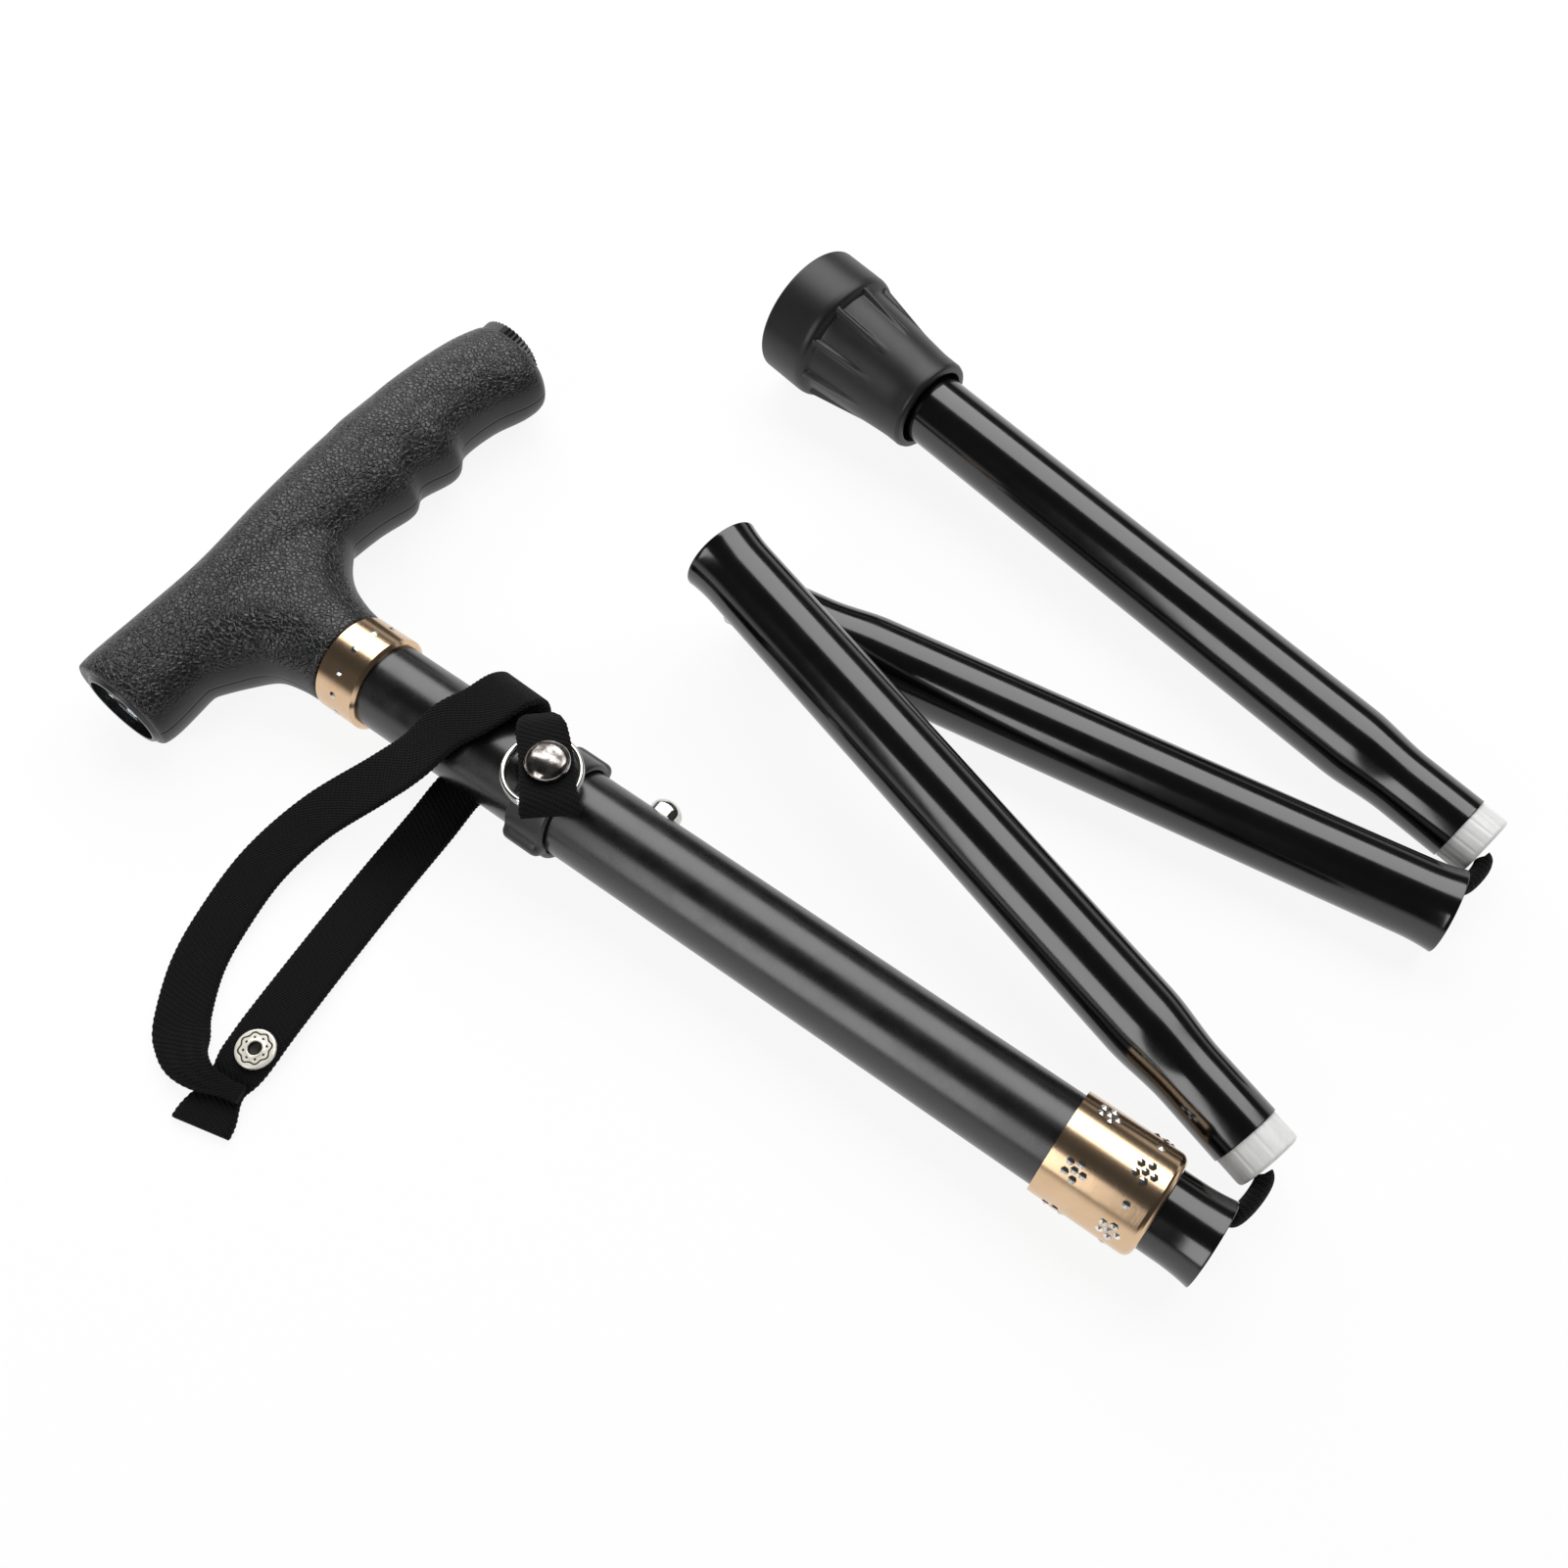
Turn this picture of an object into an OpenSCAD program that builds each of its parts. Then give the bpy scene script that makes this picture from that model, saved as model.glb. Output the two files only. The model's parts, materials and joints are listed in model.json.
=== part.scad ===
// Folding walking cane, laid out in an open zig-zag on a table.
// The upper shaft lies along X with its mouth towards +X, and the table is z = 0.
// Each lower section is a tube with a plug at one end and a flared mouth at the other.

/* [Tubes] */
// Outside diameter of the upper tube
upper_d = 22; // [21.8:0.1:22.2]
// Wall of the upper tube
upper_wall = 1; // [0.9:0.05:1.05]
// Outside diameter of the lower tubes
lower_d = 19; // [18.8:0.1:19.1]
// Wall of the lower tubes
lower_wall = 0.9; // [0.8:0.05:1]
// Diameter of a flared mouth
mouth_d = 20.4; // [20:0.1:20.6]
// Length of the flare at a mouth
mouth_flare = 8; // [6:0.5:10]
// Length of the second and third sections, plug tip to mouth
section_len = 184; // [180:1:188]
// Length of the last section, plug tip to the foot of the rubber tip
last_len = 223; // [218:1:228]
// Distance that the inner tube stands out of the collar
inner_out = 12.5; // [11:0.5:14]
// Length of the inner tube, mouth to its top end
inner_len = 168; // [164:1:172]

/* [Socket joints] */
// Length of a plug that stands out of its tube
plug_len = 7; // [6:0.5:8]
// Length of the narrowed neck of a section
neck_len = 20; // [18:0.5:22]
// Length of the taper from neck to full tube
taper_len = 8; // [6:0.5:10]
// Diameter of the elastic cord
cord_d = 5.2; // [4.6:0.1:5.6]
// Hole for the cord through a plug
cord_hole_d = 6.4; // [6:0.1:7]

/* [Handle] */
// Length of the handle bar
bar_len = 138.5; // [132:0.5:148]
// Depth of the handle bar along the shaft
bar_depth = 32.5; // [31:0.5:36]
// Thickness of the handle
bar_thick = 26; // [25:0.5:30]
// Height of the neck between the band and the bar's heart
neck_rise = 30; // [28:0.5:32]
// Radius of the neck at the band
neck_r = 12.2; // [12:0.1:12.8]
// Share of the bar that lies on the lens side of the shaft
lens_side_share = 0.304; // [0.27:0.002:0.33]

/* [Torch] */
// Diameter of one battery cell
cell_d = 14.3; // [13.9:0.1:14.5]
// Length of one battery cell
cell_len = 50; // [44:0.5:50.5]
// Diameter of the lens bezel
bezel_d = 22; // [20.5:0.1:22.6]
// Diameter of the knurled tail cap
cap_d = 18.6; // [18:0.1:20]
// Height of the knurled tail cap
cap_h = 3.8; // [3:0.1:5]

/* [Fittings on the shaft] */
// Length of the gold band under the handle
band_len = 12.5; // [10:0.5:14]
// Diameter of the gold band
band_d = 25; // [24.8:0.1:26]
// Length of the gold collar
collar_len = 24; // [20:0.5:26]
// Diameter of the gold collar
collar_d = 24.4; // [24:0.1:25]
// Distance from the inner tube's top end to the snap button
button_from_top = 18; // [16:0.5:20]
// Diameter of the snap button
button_d = 8; // [7:0.1:8.4]
// Height of the snap button above the tube
button_rise = 4.2; // [3.5:0.1:4.5]
// Spacing of the height holes
hole_step = 25.4; // [24:0.1:26]
// Number of height holes
hole_count = 5; // [3:1:5]
// Distance from the snap button to the middle of the strap clip
clip_from_button = 22.5; // [21:0.5:24]
// Length of the strap clip along the shaft
clip_len = 11; // [9:0.5:12]
// Diameter of the strap clip
clip_d = 25.6; // [25:0.1:25.8]

/* [Wrist strap] */
// Width of the webbing
strap_w = 13; // [11:0.5:14]
// Thickness of the webbing
strap_t = 1.6; // [1.2:0.1:1.7]
// Width of the snap tab
tab_w = 12.5; // [11:0.5:13]
// Thickness of the snap tab
tab_t = 1.4; // [1:0.1:1.5]
// Diameter of the chrome snap cap
snap_d = 10.8; // [9:0.1:11.5]
// Outside diameter of the split ring
ring_d = 19; // [18:0.1:19.4]

/* [Rubber tip] */
// Diameter of the tip's foot
tip_d = 36.2; // [34:0.2:36.8]
// Length of the rubber tip
tip_len = 46.5; // [43:0.5:49]
// Diameter of the tip's upper lip
lip_d = 25.2; // [24:0.1:26]
// Number of gussets round the tip
gusset_count = 10; // [6:1:14]

/* [Rest pose] */
// Turn of the second section from straight, about the first fold
fold_1_turn = 165.3; // [155:0.1:168]
// Lean of the first fold's axis
fold_1_lean = 2.9; // [2.9:0.1:3.4]
// Swing of the third section from straight
swing_turn = -25; // [-30:0.5:-22]
// Turn of the third section from straight, about the second fold
fold_2_turn = -173.9; // [-174:0.1:-173]
// Heading of the second fold's axis
fold_2_heading = 113.7; // [112:0.1:115]
// Turn of the last section from straight, about the third fold
fold_3_turn = -162.5; // [-164:0.1:-150]
// Lean of the third fold's axis
fold_3_lean = -1.3; // [-1.6:0.1:-1.3]

/* [Hidden] */
$fn = 64;
overrun = 1;
press_gap = 0.05;
socket_gap = 0.3;
seat_gap = 0.3;

// Place of the upper shaft's mouth in the part's frame
mouth_x = 137.685;
mouth_y = -34.011;
shaft_z = bar_thick / 2;

// Radii and lengths that follow from the tubes
upper_r = upper_d / 2;
upper_bore_r = upper_r - upper_wall;
lower_r = lower_d / 2;
lower_bore_r = lower_r - lower_wall;
mouth_r = mouth_d / 2;
socket_r = lower_bore_r - socket_gap;
neck_wall = 0.8;
neck_bore_r = socket_r - neck_wall;
plug_step = 0.4;
plug_r = socket_r - plug_step;
plug_stem_len = 15;
plug_chamfer = 0.8;
cord_r = cord_d / 2;
cord_hole_r = cord_hole_d / 2;
neck_end = plug_len + neck_len;
taper_end = neck_end + taper_len;
socket_depth = neck_end + taper_len + overrun;

// Fold pivots, each measured from the parent's mouth
plug_gap = 2;
fold_1_pitch = 21.6;
fold_1_ahead = 0.2;
swing_back = 5.2;
fold_2_pitch = 21.4;
fold_2_gap = 7;
fold_2_ahead = 3.5;
fold_3_pitch = 19.6;
fold_3_ahead = 0.8;
loop_reach = 5;
swing_loop_reach = 11;
loop_end = 1;

// Upper shaft stations, as distances from the mouth
collar_lip = 2;
tube_end = inner_out + collar_lip;
collar_top = inner_out + collar_len;
button_from_mouth = inner_len - button_from_top;
clip_from_mouth = button_from_mouth + clip_from_button;
strap_from_clip = 21.5;
strap_from_mouth = clip_from_mouth + strap_from_clip;
band_from_strap = 44;
band_top = strap_from_mouth + band_from_strap;
band_bottom = band_top - band_len;
bar_from_band = 20;
bar_bottom = band_top + bar_from_band;
tube_in_bar = 3;
tube_top = bar_bottom + tube_in_bar;
torch_in_bar = 14.7;
torch_from_mouth = bar_bottom + torch_in_bar;

// Vector helpers
function unit(v) = v / norm(v);
function turned_vector(v, axis, angle) =
  let (k = unit(axis))
  v * cos(angle) + cross(k, v) * sin(angle) + k * (k * v) * (1 - cos(angle));
function turned_point(p, pivot, axis, angle) = pivot + turned_vector(p - pivot, axis, angle);
function leaning(angle) = [sin(angle), 0, cos(angle)];

// Smooth curve through a list of points, with steps points to each span
function spline_point(a, b, c, d, t) =
  0.5 * (2 * b + (c - a) * t + (2 * a - 5 * b + 4 * c - d) * t * t
    + (3 * b - a - 3 * c + d) * t * t * t);
function spline(points, steps) =
  let (last = len(points) - 1)
  concat(
    [
      for (i = [0 : last - 1], s = [0 : steps - 1])
      spline_point(points[max(i - 1, 0)], points[i], points[i + 1],
        points[min(i + 2, last)], s / steps)
    ],
    [points[last]]
  );
function bezier_point(a, b, c, d, t) =
  a * pow(1 - t, 3) + 3 * b * t * pow(1 - t, 2) + 3 * c * t * t * (1 - t) + d * pow(t, 3);
function tangent(path, i) = unit(path[min(i + 1, len(path) - 1)] - path[max(i - 1, 0)]);

// A closed skin over a list of rings with equal counts of points
module skin(rings) {
  count = len(rings[0]);
  last = len(rings) - 1;
  points = [for (ring = rings) each ring];
  sides = [
    for (i = [0 : last - 1], j = [0 : count - 1])
    let (a = i * count + j, b = i * count + (j + 1) % count)
    each [[a, b, b + count], [a, b + count, a + count]]
  ];
  first_cap = [for (j = [1 : count - 2]) [0, j + 1, j]];
  last_cap = [for (j = [1 : count - 2]) [last * count, last * count + j, last * count + j + 1]];
  polyhedron(points = points, faces = concat(sides, first_cap, last_cap), convexity = 10);
}

// A round cord swept along a path that bends about one normal
cord_sides = 10;
module swept_cord(path, radius, normal) {
  skin([
    for (i = [0 : len(path) - 1])
    let (t = tangent(path, i), n = unit(cross(normal, t)), b = cross(t, n))
    [
      for (j = [0 : cord_sides - 1])
      let (a = 360 * j / cord_sides)
      path[i] + radius * (cos(a) * b + sin(a) * n)
    ]
  ]);
}

// A flat band swept along stations of [x, y, z, heading of its width]
module swept_band(stations, width, thickness) {
  path = [for (s = stations) [s[0], s[1], s[2]]];
  skin([
    for (i = [0 : len(path) - 1])
    let (
      t = tangent(path, i),
      flat = [cos(stations[i][3]), sin(stations[i][3]), 0],
      n = unit(cross(t, flat)),
      w = cross(n, t)
    )
    [
      path[i] + w * width / 2 + n * thickness / 2,
      path[i] - w * width / 2 + n * thickness / 2,
      path[i] - w * width / 2 - n * thickness / 2,
      path[i] + w * width / 2 - n * thickness / 2
    ]
  ]);
}

// A shape turned about X, from points of [radius, place along X]
module turned(points) {
  rotate([0, 90, 0]) rotate_extrude() polygon(points);
}
module pipe(from, to, outer_r, inner_r = 0) {
  turned([[inner_r, from], [outer_r, from], [outer_r, to], [inner_r, to]]);
}

// Frames: each puts its children where that body lies at rest
fold_1_pivot = [fold_1_ahead, fold_1_pitch / 2, 0];
fold_2_pivot = [fold_2_ahead, 0, -fold_2_pitch / 2];
fold_2_axis = [cos(fold_2_heading), sin(fold_2_heading), 0];
fold_3_pivot = [fold_3_ahead, -fold_3_pitch / 2, 0];
module upper_frame() {
  translate([mouth_x, mouth_y, shaft_z]) children();
}
module about(pivot, axis, angle) {
  translate(pivot) rotate(a = angle, v = axis) translate(-pivot) children();
}
module section_2_frame() {
  upper_frame() about(fold_1_pivot, leaning(fold_1_lean), fold_1_turn)
    translate([plug_gap, 0, 0]) children();
}
module swing_frame() {
  section_2_frame() translate([section_len, 0, 0])
    about([-swing_back, 0, 0], [0, 0, 1], swing_turn) children();
}
module section_3_frame() {
  swing_frame() about(fold_2_pivot, fold_2_axis, fold_2_turn)
    translate([fold_2_gap, 0, 0]) children();
}
module section_4_frame() {
  section_3_frame() translate([section_len, 0, 0])
    about(fold_3_pivot, leaning(fold_3_lean), fold_3_turn)
    translate([plug_gap, 0, 0]) children();
}

// Handle: a bar lofted across the shaft and a neck lofted along it
ring_points = 24;
squareness = 2.5;
bar_start = -bar_len * lens_side_share;
bar_steps = 2;
// Along the bar, its top edge, its underside and its thickness, each as a share
bar_shares = [
  [0.00, 0.905, 0.070, 0.94], [0.04, 0.905, 0.050, 0.99], [0.15, 0.878, 0.080, 1],
  [0.28, 0.860, 0.120, 1], [0.43, 0.920, 0.130, 1], [0.55, 0.955, 0.085, 1],
  [0.628, 0.967, 0.004, 1], [0.668, 0.968, 0.075, 1], [0.742, 0.955, -0.024, 1],
  [0.79, 0.935, 0.085, 0.99], [0.87, 0.895, 0.045, 0.975], [0.935, 0.850, -0.070, 0.95],
  [0.975, 0.800, -0.090, 0.9], [1.00, 0.745, 0.000, 0.85]
];
// Up the neck, how far its lens side and its finger side spread towards the bar's ends,
// and its thickness, each as a share
neck_steps = 2;
neck_shares = [
  [0.00, 0.000, 0.000, 1.00], [0.20, 0.013, 0.014, 1.00], [0.45, 0.093, 0.048, 1.01],
  [0.65, 0.339, 0.101, 1.01], [0.85, 0.656, 0.190, 1.00], [1.00, 0.847, 0.253, 0.97]
];
function rounded_ring_point(a, half_w, half_t) = [
  half_w * sign(cos(a)) * pow(abs(cos(a)), 2 / squareness),
  half_t * sign(sin(a)) * pow(abs(sin(a)), 2 / squareness)
];
module handle_bar() {
  skin([
    for (s = spline(bar_shares, bar_steps))
    let (
      top = bar_bottom + bar_depth * s[1],
      bottom = bar_bottom + bar_depth * s[2],
      middle = (top + bottom) / 2
    )
    [
      for (j = [0 : ring_points - 1])
      let (p = rounded_ring_point(360 * j / ring_points, (top - bottom) / 2, bar_thick / 2 * min(1, s[3])))
      [p[0] - middle, bar_start + bar_len * s[0], p[1]]
    ]
  ]);
}
module handle_neck() {
  skin([
    for (s = spline(neck_shares, neck_steps))
    let (
      low = -neck_r - (-bar_start - neck_r) * s[1],
      high = neck_r + (bar_len + bar_start - neck_r) * s[2]
    )
    [
      for (j = [0 : ring_points - 1])
      let (p = rounded_ring_point(360 * j / ring_points, (high - low) / 2, neck_r * s[3]))
      [-band_top - neck_rise * s[0], (high + low) / 2 + p[0], p[1]]
    ]
  ]);
}
// The torch's parts run along the bar, from the lens end
module torch_frame() {
  translate([-torch_from_mouth, bar_start, 0]) rotate([-90, 0, 0]) children();
}
bezel_depth = 12;
bezel_wall = 1.6;
bezel_proud = 0.8;
lens_t = 2;
lens_back = 2.2;
reflector_len = 8;
barrel_wall = 1;
board_t = 1.6;
bezel_r = bezel_d / 2;
lens_r = bezel_r - bezel_wall;
barrel_bore_r = cell_d / 2 + seat_gap;
barrel_r = barrel_bore_r + barrel_wall;
lens_front = lens_back - bezel_proud;
reflector_front = lens_front + lens_t;
reflector_back = reflector_front + reflector_len;
board_back = reflector_back + board_t;
cell_nub = 1.4;
barrel_back = bar_len - cap_h;
cap_stem_len = 12;
cap_stem_from = bar_len - cap_stem_len;
// As many cells as the bar has room for, with the spring filling the rest
spring_room = 6;
cell_count = floor((cap_stem_from - board_back - spring_room) / cell_len);
cells_back = board_back + seat_gap + cell_count * cell_len;

module handle() {
  color("#262626") upper_frame() difference() {
    union() {
      handle_bar();
      handle_neck();
    }
    pipe(-tube_top - press_gap, -band_top + overrun, upper_r + press_gap);
    torch_frame() {
      translate([0, 0, -overrun]) cylinder(r = bezel_r + press_gap, h = bezel_depth + overrun);
      translate([0, 0, -overrun]) cylinder(r = barrel_r + press_gap, h = bar_len + 2 * overrun);
    }
  }
}
module torch_bezel() {
  color("#3a3a3a") upper_frame() torch_frame() translate([0, 0, -bezel_proud])
    rotate_extrude() polygon([
      [lens_r, 0], [bezel_r - bezel_wall / 2, 0], [bezel_r, bezel_wall / 2],
      [bezel_r, bezel_depth], [lens_r, bezel_depth]
    ]);
}
module torch_lens() {
  color("#dfe6ea", 0.5) upper_frame() torch_frame() translate([0, 0, lens_front])
    cylinder(r = lens_r - press_gap, h = lens_t);
}
reflector_wall = 0.8;
throat_share = 0.33;
module torch_reflector() {
  throat_r = lens_r * throat_share;
  color("silver") upper_frame() torch_frame() translate([0, 0, reflector_front])
    rotate_extrude() polygon([
      [lens_r - press_gap, press_gap], [lens_r - press_gap, reflector_wall],
      [throat_r + reflector_wall, reflector_len], [throat_r, reflector_len],
      [lens_r - reflector_wall, press_gap]
    ]);
}
led_share = 0.25;
module led_board() {
  led_r = lens_r * led_share;
  color("#e8e4c8") upper_frame() torch_frame() {
    translate([0, 0, reflector_back]) cylinder(r = barrel_r - press_gap, h = board_t);
    translate([0, 0, reflector_back - led_r]) cylinder(r = led_r, h = led_r + board_t / 2);
    translate([0, 0, reflector_back - led_r]) sphere(r = led_r);
  }
}
module torch_barrel() {
  color("#555555") upper_frame() torch_frame() translate([0, 0, board_back]) difference() {
    cylinder(r = barrel_r, h = barrel_back - board_back);
    translate([0, 0, -overrun]) cylinder(r = barrel_bore_r, h = bar_len);
  }
}
nub_share = 0.2;
module torch_cells() {
  nub_r = cell_d * nub_share;
  color("#3d6a4a") upper_frame() torch_frame() for (i = [0 : cell_count - 1]) {
    translate([0, 0, board_back + seat_gap + cell_len * i + cell_nub])
      cylinder(r = cell_d / 2, h = cell_len - cell_nub - press_gap);
    translate([0, 0, board_back + seat_gap + cell_len * i]) cylinder(r = nub_r, h = cell_nub + press_gap);
  }
}
spring_turns = 4;
spring_wire_r = 0.5;
spring_coil_r = 5;
spring_ring_steps = 12;
module cell_spring() {
  from = cells_back + spring_wire_r + press_gap;
  rise = cap_stem_from - seat_gap - spring_wire_r - from;
  steps = spring_turns * spring_ring_steps;
  path = [
    for (i = [0 : steps])
    let (a = 360 * i / spring_ring_steps)
    [spring_coil_r * cos(a), spring_coil_r * sin(a), from + rise * i / steps]
  ];
  color("silver") upper_frame() torch_frame() swept_cord(path, spring_wire_r, [0, 0, 1]);
}
rib_count = 44;
rib_depth = 0.5;
module torch_cap() {
  cap_r = cap_d / 2;
  knurl = [
    for (i = [0 : 2 * rib_count - 1])
    let (a = 180 * i / rib_count, r = cap_r - rib_depth * (i % 2))
    [r * cos(a), r * sin(a)]
  ];
  color("#1c1c1c") upper_frame() torch_frame() {
    translate([0, 0, cap_stem_from])
      cylinder(r = barrel_bore_r - press_gap, h = cap_stem_len + seat_gap + cap_h / 2);
    translate([0, 0, bar_len + seat_gap]) linear_extrude(cap_h - rib_depth) polygon(knurl);
    translate([0, 0, bar_len + seat_gap + cap_h - rib_depth])
      cylinder(r1 = cap_r - 2 * rib_depth, r2 = cap_r - 3 * rib_depth, h = rib_depth);
  }
}

// Upper tube with its height holes on the +Y side
hole_slack = 0.2;
function hole_place(i) = -button_from_mouth + hole_step * i;
module height_hole(x, length) {
  translate([x, 0, 0]) rotate([-90, 0, 0]) cylinder(r = button_d / 2 + hole_slack, h = length);
}
module outer_tube() {
  color("#151515") upper_frame() difference() {
    pipe(-tube_top, -tube_end, upper_r, upper_bore_r);
    for (i = [0 : hole_count - 1]) height_hole(hole_place(i), upper_d);
  }
}
band_round = 0.8;
module handle_band() {
  band_r = band_d / 2;
  bore = upper_r + press_gap;
  color("#c9a25e") upper_frame() turned([
    [bore, -band_top], [band_r - band_round, -band_top], [band_r, -band_top + band_round],
    [band_r, -band_bottom - band_round], [band_r - band_round, -band_bottom], [bore, -band_bottom]
  ]);
}
collar_round = 2;
round_steps = 6;
module shaft_collar() {
  collar_r = collar_d / 2;
  bore = upper_r + press_gap;
  rounded = [
    for (i = [0 : round_steps])
    let (a = 90 * i / round_steps)
    [collar_r - collar_round + collar_round * cos(a), -inner_out - collar_round + collar_round * sin(a)]
  ];
  color("#c9a25e") upper_frame() turned(concat(
    [[bore, -collar_top], [collar_r, -collar_top]],
    rounded,
    [[lower_r + socket_gap, -inner_out], [lower_r + socket_gap, -tube_end + press_gap],
      [bore, -tube_end + press_gap]]
  ));
}
module guide_bush() {
  color("#e9e9e4") upper_frame()
    pipe(-collar_top, -tube_end, upper_bore_r - press_gap, lower_r + press_gap);
}

// Strap clip, split ring and snap tab
lug_r = 2.7;
lug_sink = 1.2;
clip_r = clip_d / 2;
module strap_clip() {
  middle = -clip_from_mouth;
  color("#2b2b2b") upper_frame() difference() {
    union() {
      pipe(middle - clip_len / 2, middle + clip_len / 2, clip_r);
      for (side = [-1, 1]) translate([0, side * (clip_r - lug_sink), 0])
        pipe(middle - clip_len / 2, middle + clip_len / 2, lug_r);
    }
    pipe(middle - clip_len, middle + clip_len, upper_r + press_gap);
  }
}
wire_r = 0.7;
ring_aside = 1.2;
ring_z = clip_r + seat_gap + 2 * wire_r;
module strap_ring() {
  color("silver") upper_frame() translate([-clip_from_mouth - ring_aside, -ring_aside, ring_z])
    rotate_extrude() for (side = [-1, 1])
      translate([ring_d / 2 - wire_r, side * (wire_r - press_gap)]) circle(r = wire_r);
}
// The tab lies over the ring, and its ends dip past it
tab_len = 38;
tab_drop = 13;
tab_lift = 0.6;
tab_z = ring_z + 2 * wire_r + tab_lift + tab_t / 2;
// Along the shaft, across it and down, each as a share, and the heading of the width
tab_route_shares = [
  [-0.290, 0.253, 0.20, 39], [-0.224, 0.190, 0.04, 39], [-0.118, 0.100, 0, 39], [-0.013, 0, 0, 39],
  [0.095, -0.116, 0, 38], [0.163, -0.187, 0.01, 37], [0.213, -0.245, 0.12, 36]
];
module strap_tab() {
  route = [
    for (s = tab_route_shares)
    [-clip_from_mouth + tab_len * s[0], tab_len * s[1], tab_z - tab_drop * s[2], s[3]]
  ];
  color("#1d1d1d") upper_frame() swept_band(spline(route, 3), tab_w, tab_t);
}
snap_h = 3;
snap_rim = 0.6;
module snap_cap() {
  snap_r = snap_d / 2;
  dome = [
    for (i = [0 : round_steps])
    let (a = 90 * i / round_steps)
    [snap_r * cos(a), snap_rim + (snap_h - snap_rim) * sin(a)]
  ];
  color("silver") upper_frame() translate([-clip_from_mouth, 0, tab_z + tab_t / 2 + seat_gap])
    rotate_extrude() polygon(concat([[0, 0], [snap_r, 0]], dome));
}
// The webbing runs from its tail up one leg, over the tube, round under it and down the other leg
strap_reach = 103.5;
strap_slack = 6;
strap_clear = 0.2;
wrap_gap = 0.25;
wrap_r = upper_r + strap_t / 2 + wrap_gap;
// Along and across the shaft as shares of the reach, height in thicknesses, heading of the width
rising_leg_shares = [
  [0.070, -0.895, 0, 88], [-0.016, -0.915, 0, 84], [-0.092, -0.902, 0, 64], [-0.155, -0.855, 0, 42],
  [-0.220, -0.744, 0.16, 22], [-0.252, -0.624, 0.66, 10], [-0.265, -0.484, 1.66, -3],
  [-0.234, -0.338, 3.8, -18], [-0.150, -0.201, 8.2, -30], [-0.093, -0.128, 12.2, -34]
];
falling_leg_shares = [
  [-0.046, -0.085, 0.03, 6], [-0.038, -0.184, 0, 6], [-0.029, -0.338, 0, 6], [-0.016, -0.493, 0.15, 6],
  [0.001, -0.644, 0.6, 6], [0.017, -0.760, 1.12, 6], [0.026, -0.866, 1.15, 7], [0.036, -0.940, 1.15, 9],
  [0.050, -1, 1.12, 12]
];
// Angle round the tube from its top, slack and place along the tube as shares, heading of the width
wrap_shares = [
  [-20, 0.2, -0.34, -24], [13, 0.3, 0, -12], [45, 0.75, 0.05, -4], [72, 0.9, 0.03, -2],
  [100, 0.75, 0, -2], [130, 0.4, -0.1, 0], [162, 0.1, -0.22, 2], [198, 0.1, -0.3, 4]
];
function leg_station(s) = [
  strap_reach * s[0] - strap_from_mouth, strap_reach * s[1], strap_clear + strap_t * (1 / 2 + s[2]), s[3]
];
function wrap_station(s) =
  let (r = wrap_r + strap_slack * s[1])
  [strap_w * s[2] - strap_from_mouth, r * sin(s[0]), shaft_z + r * cos(s[0]), s[3]];
strap_route = concat(
  [for (s = rising_leg_shares) leg_station(s)],
  [for (s = wrap_shares) wrap_station(s)],
  [for (s = falling_leg_shares) leg_station(s)]
);
module strap_frame() {
  translate([mouth_x, mouth_y, 0]) children();
}
module wrist_strap() {
  color("#1d1d1d") strap_frame() swept_band(spline(strap_route, 2), strap_w, strap_t);
}
rivet_r = 5;
rivet_h = 1.2;
rivet_hole_r = 1.8;
rivet_petals = 5;
rivet_core_share = 0.7;
petal_share = 0.38;
// Place of the rivet on the strap, on the same shares as a leg
rivet_place_shares = [0.032, -0.81, 1.12, 0];
module strap_rivet() {
  place = leg_station(rivet_place_shares);
  color("silver") strap_frame() translate([place[0], place[1], place[2] + strap_t / 2 + wrap_gap])
    difference() {
      union() {
        cylinder(r = rivet_r * rivet_core_share, h = rivet_h);
        for (i = [0 : rivet_petals - 1]) rotate([0, 0, 360 * i / rivet_petals])
          translate([rivet_r * (1 - petal_share), 0, 0]) cylinder(r = rivet_r * petal_share, h = rivet_h);
      }
      translate([0, 0, rivet_h / 2]) cylinder(r = rivet_hole_r, h = rivet_h);
    }
}

// Outline of a flared mouth that ends at x, outside then inside
flare_steps = 4;
function flare_outer(x) = [
  for (i = [0 : flare_steps])
  let (s = i / flare_steps)
  [lower_r + (mouth_r - lower_r) * s * s, x - mouth_flare * (1 - s)]
];
function flare_inner(x) = [
  for (i = [flare_steps : -1 : 0])
  let (s = i / flare_steps)
  [lower_bore_r + (mouth_r - lower_r) * s * s, x - mouth_flare * (1 - s)]
];

// Inner tube, which slides in the upper tube and carries the button
module inner_tube() {
  color("#101010") upper_frame() difference() {
    turned(concat([[lower_bore_r, -inner_len], [lower_r, -inner_len]], flare_outer(0), flare_inner(0)));
    height_hole(-button_from_mouth, upper_d);
  }
}
guide_flange = 3;
guide_stem = 8;
module top_guide() {
  color("#e9e9e4") upper_frame() {
    pipe(-inner_len - guide_flange, -inner_len, upper_bore_r - 2 * press_gap, cord_hole_r);
    pipe(-inner_len, -inner_len + guide_stem, lower_bore_r - press_gap, cord_hole_r);
  }
}
anchor_from_button = 22;
anchor_from_mouth = button_from_mouth - anchor_from_button;
anchor_len = 9;
module cord_anchor() {
  color("#e9e9e4") upper_frame() difference() {
    pipe(-anchor_from_mouth, -anchor_from_mouth + anchor_len, lower_bore_r - press_gap);
    pipe(-anchor_from_mouth + anchor_len / 2, -anchor_from_mouth + 2 * anchor_len, cord_r + press_gap);
  }
}
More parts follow.
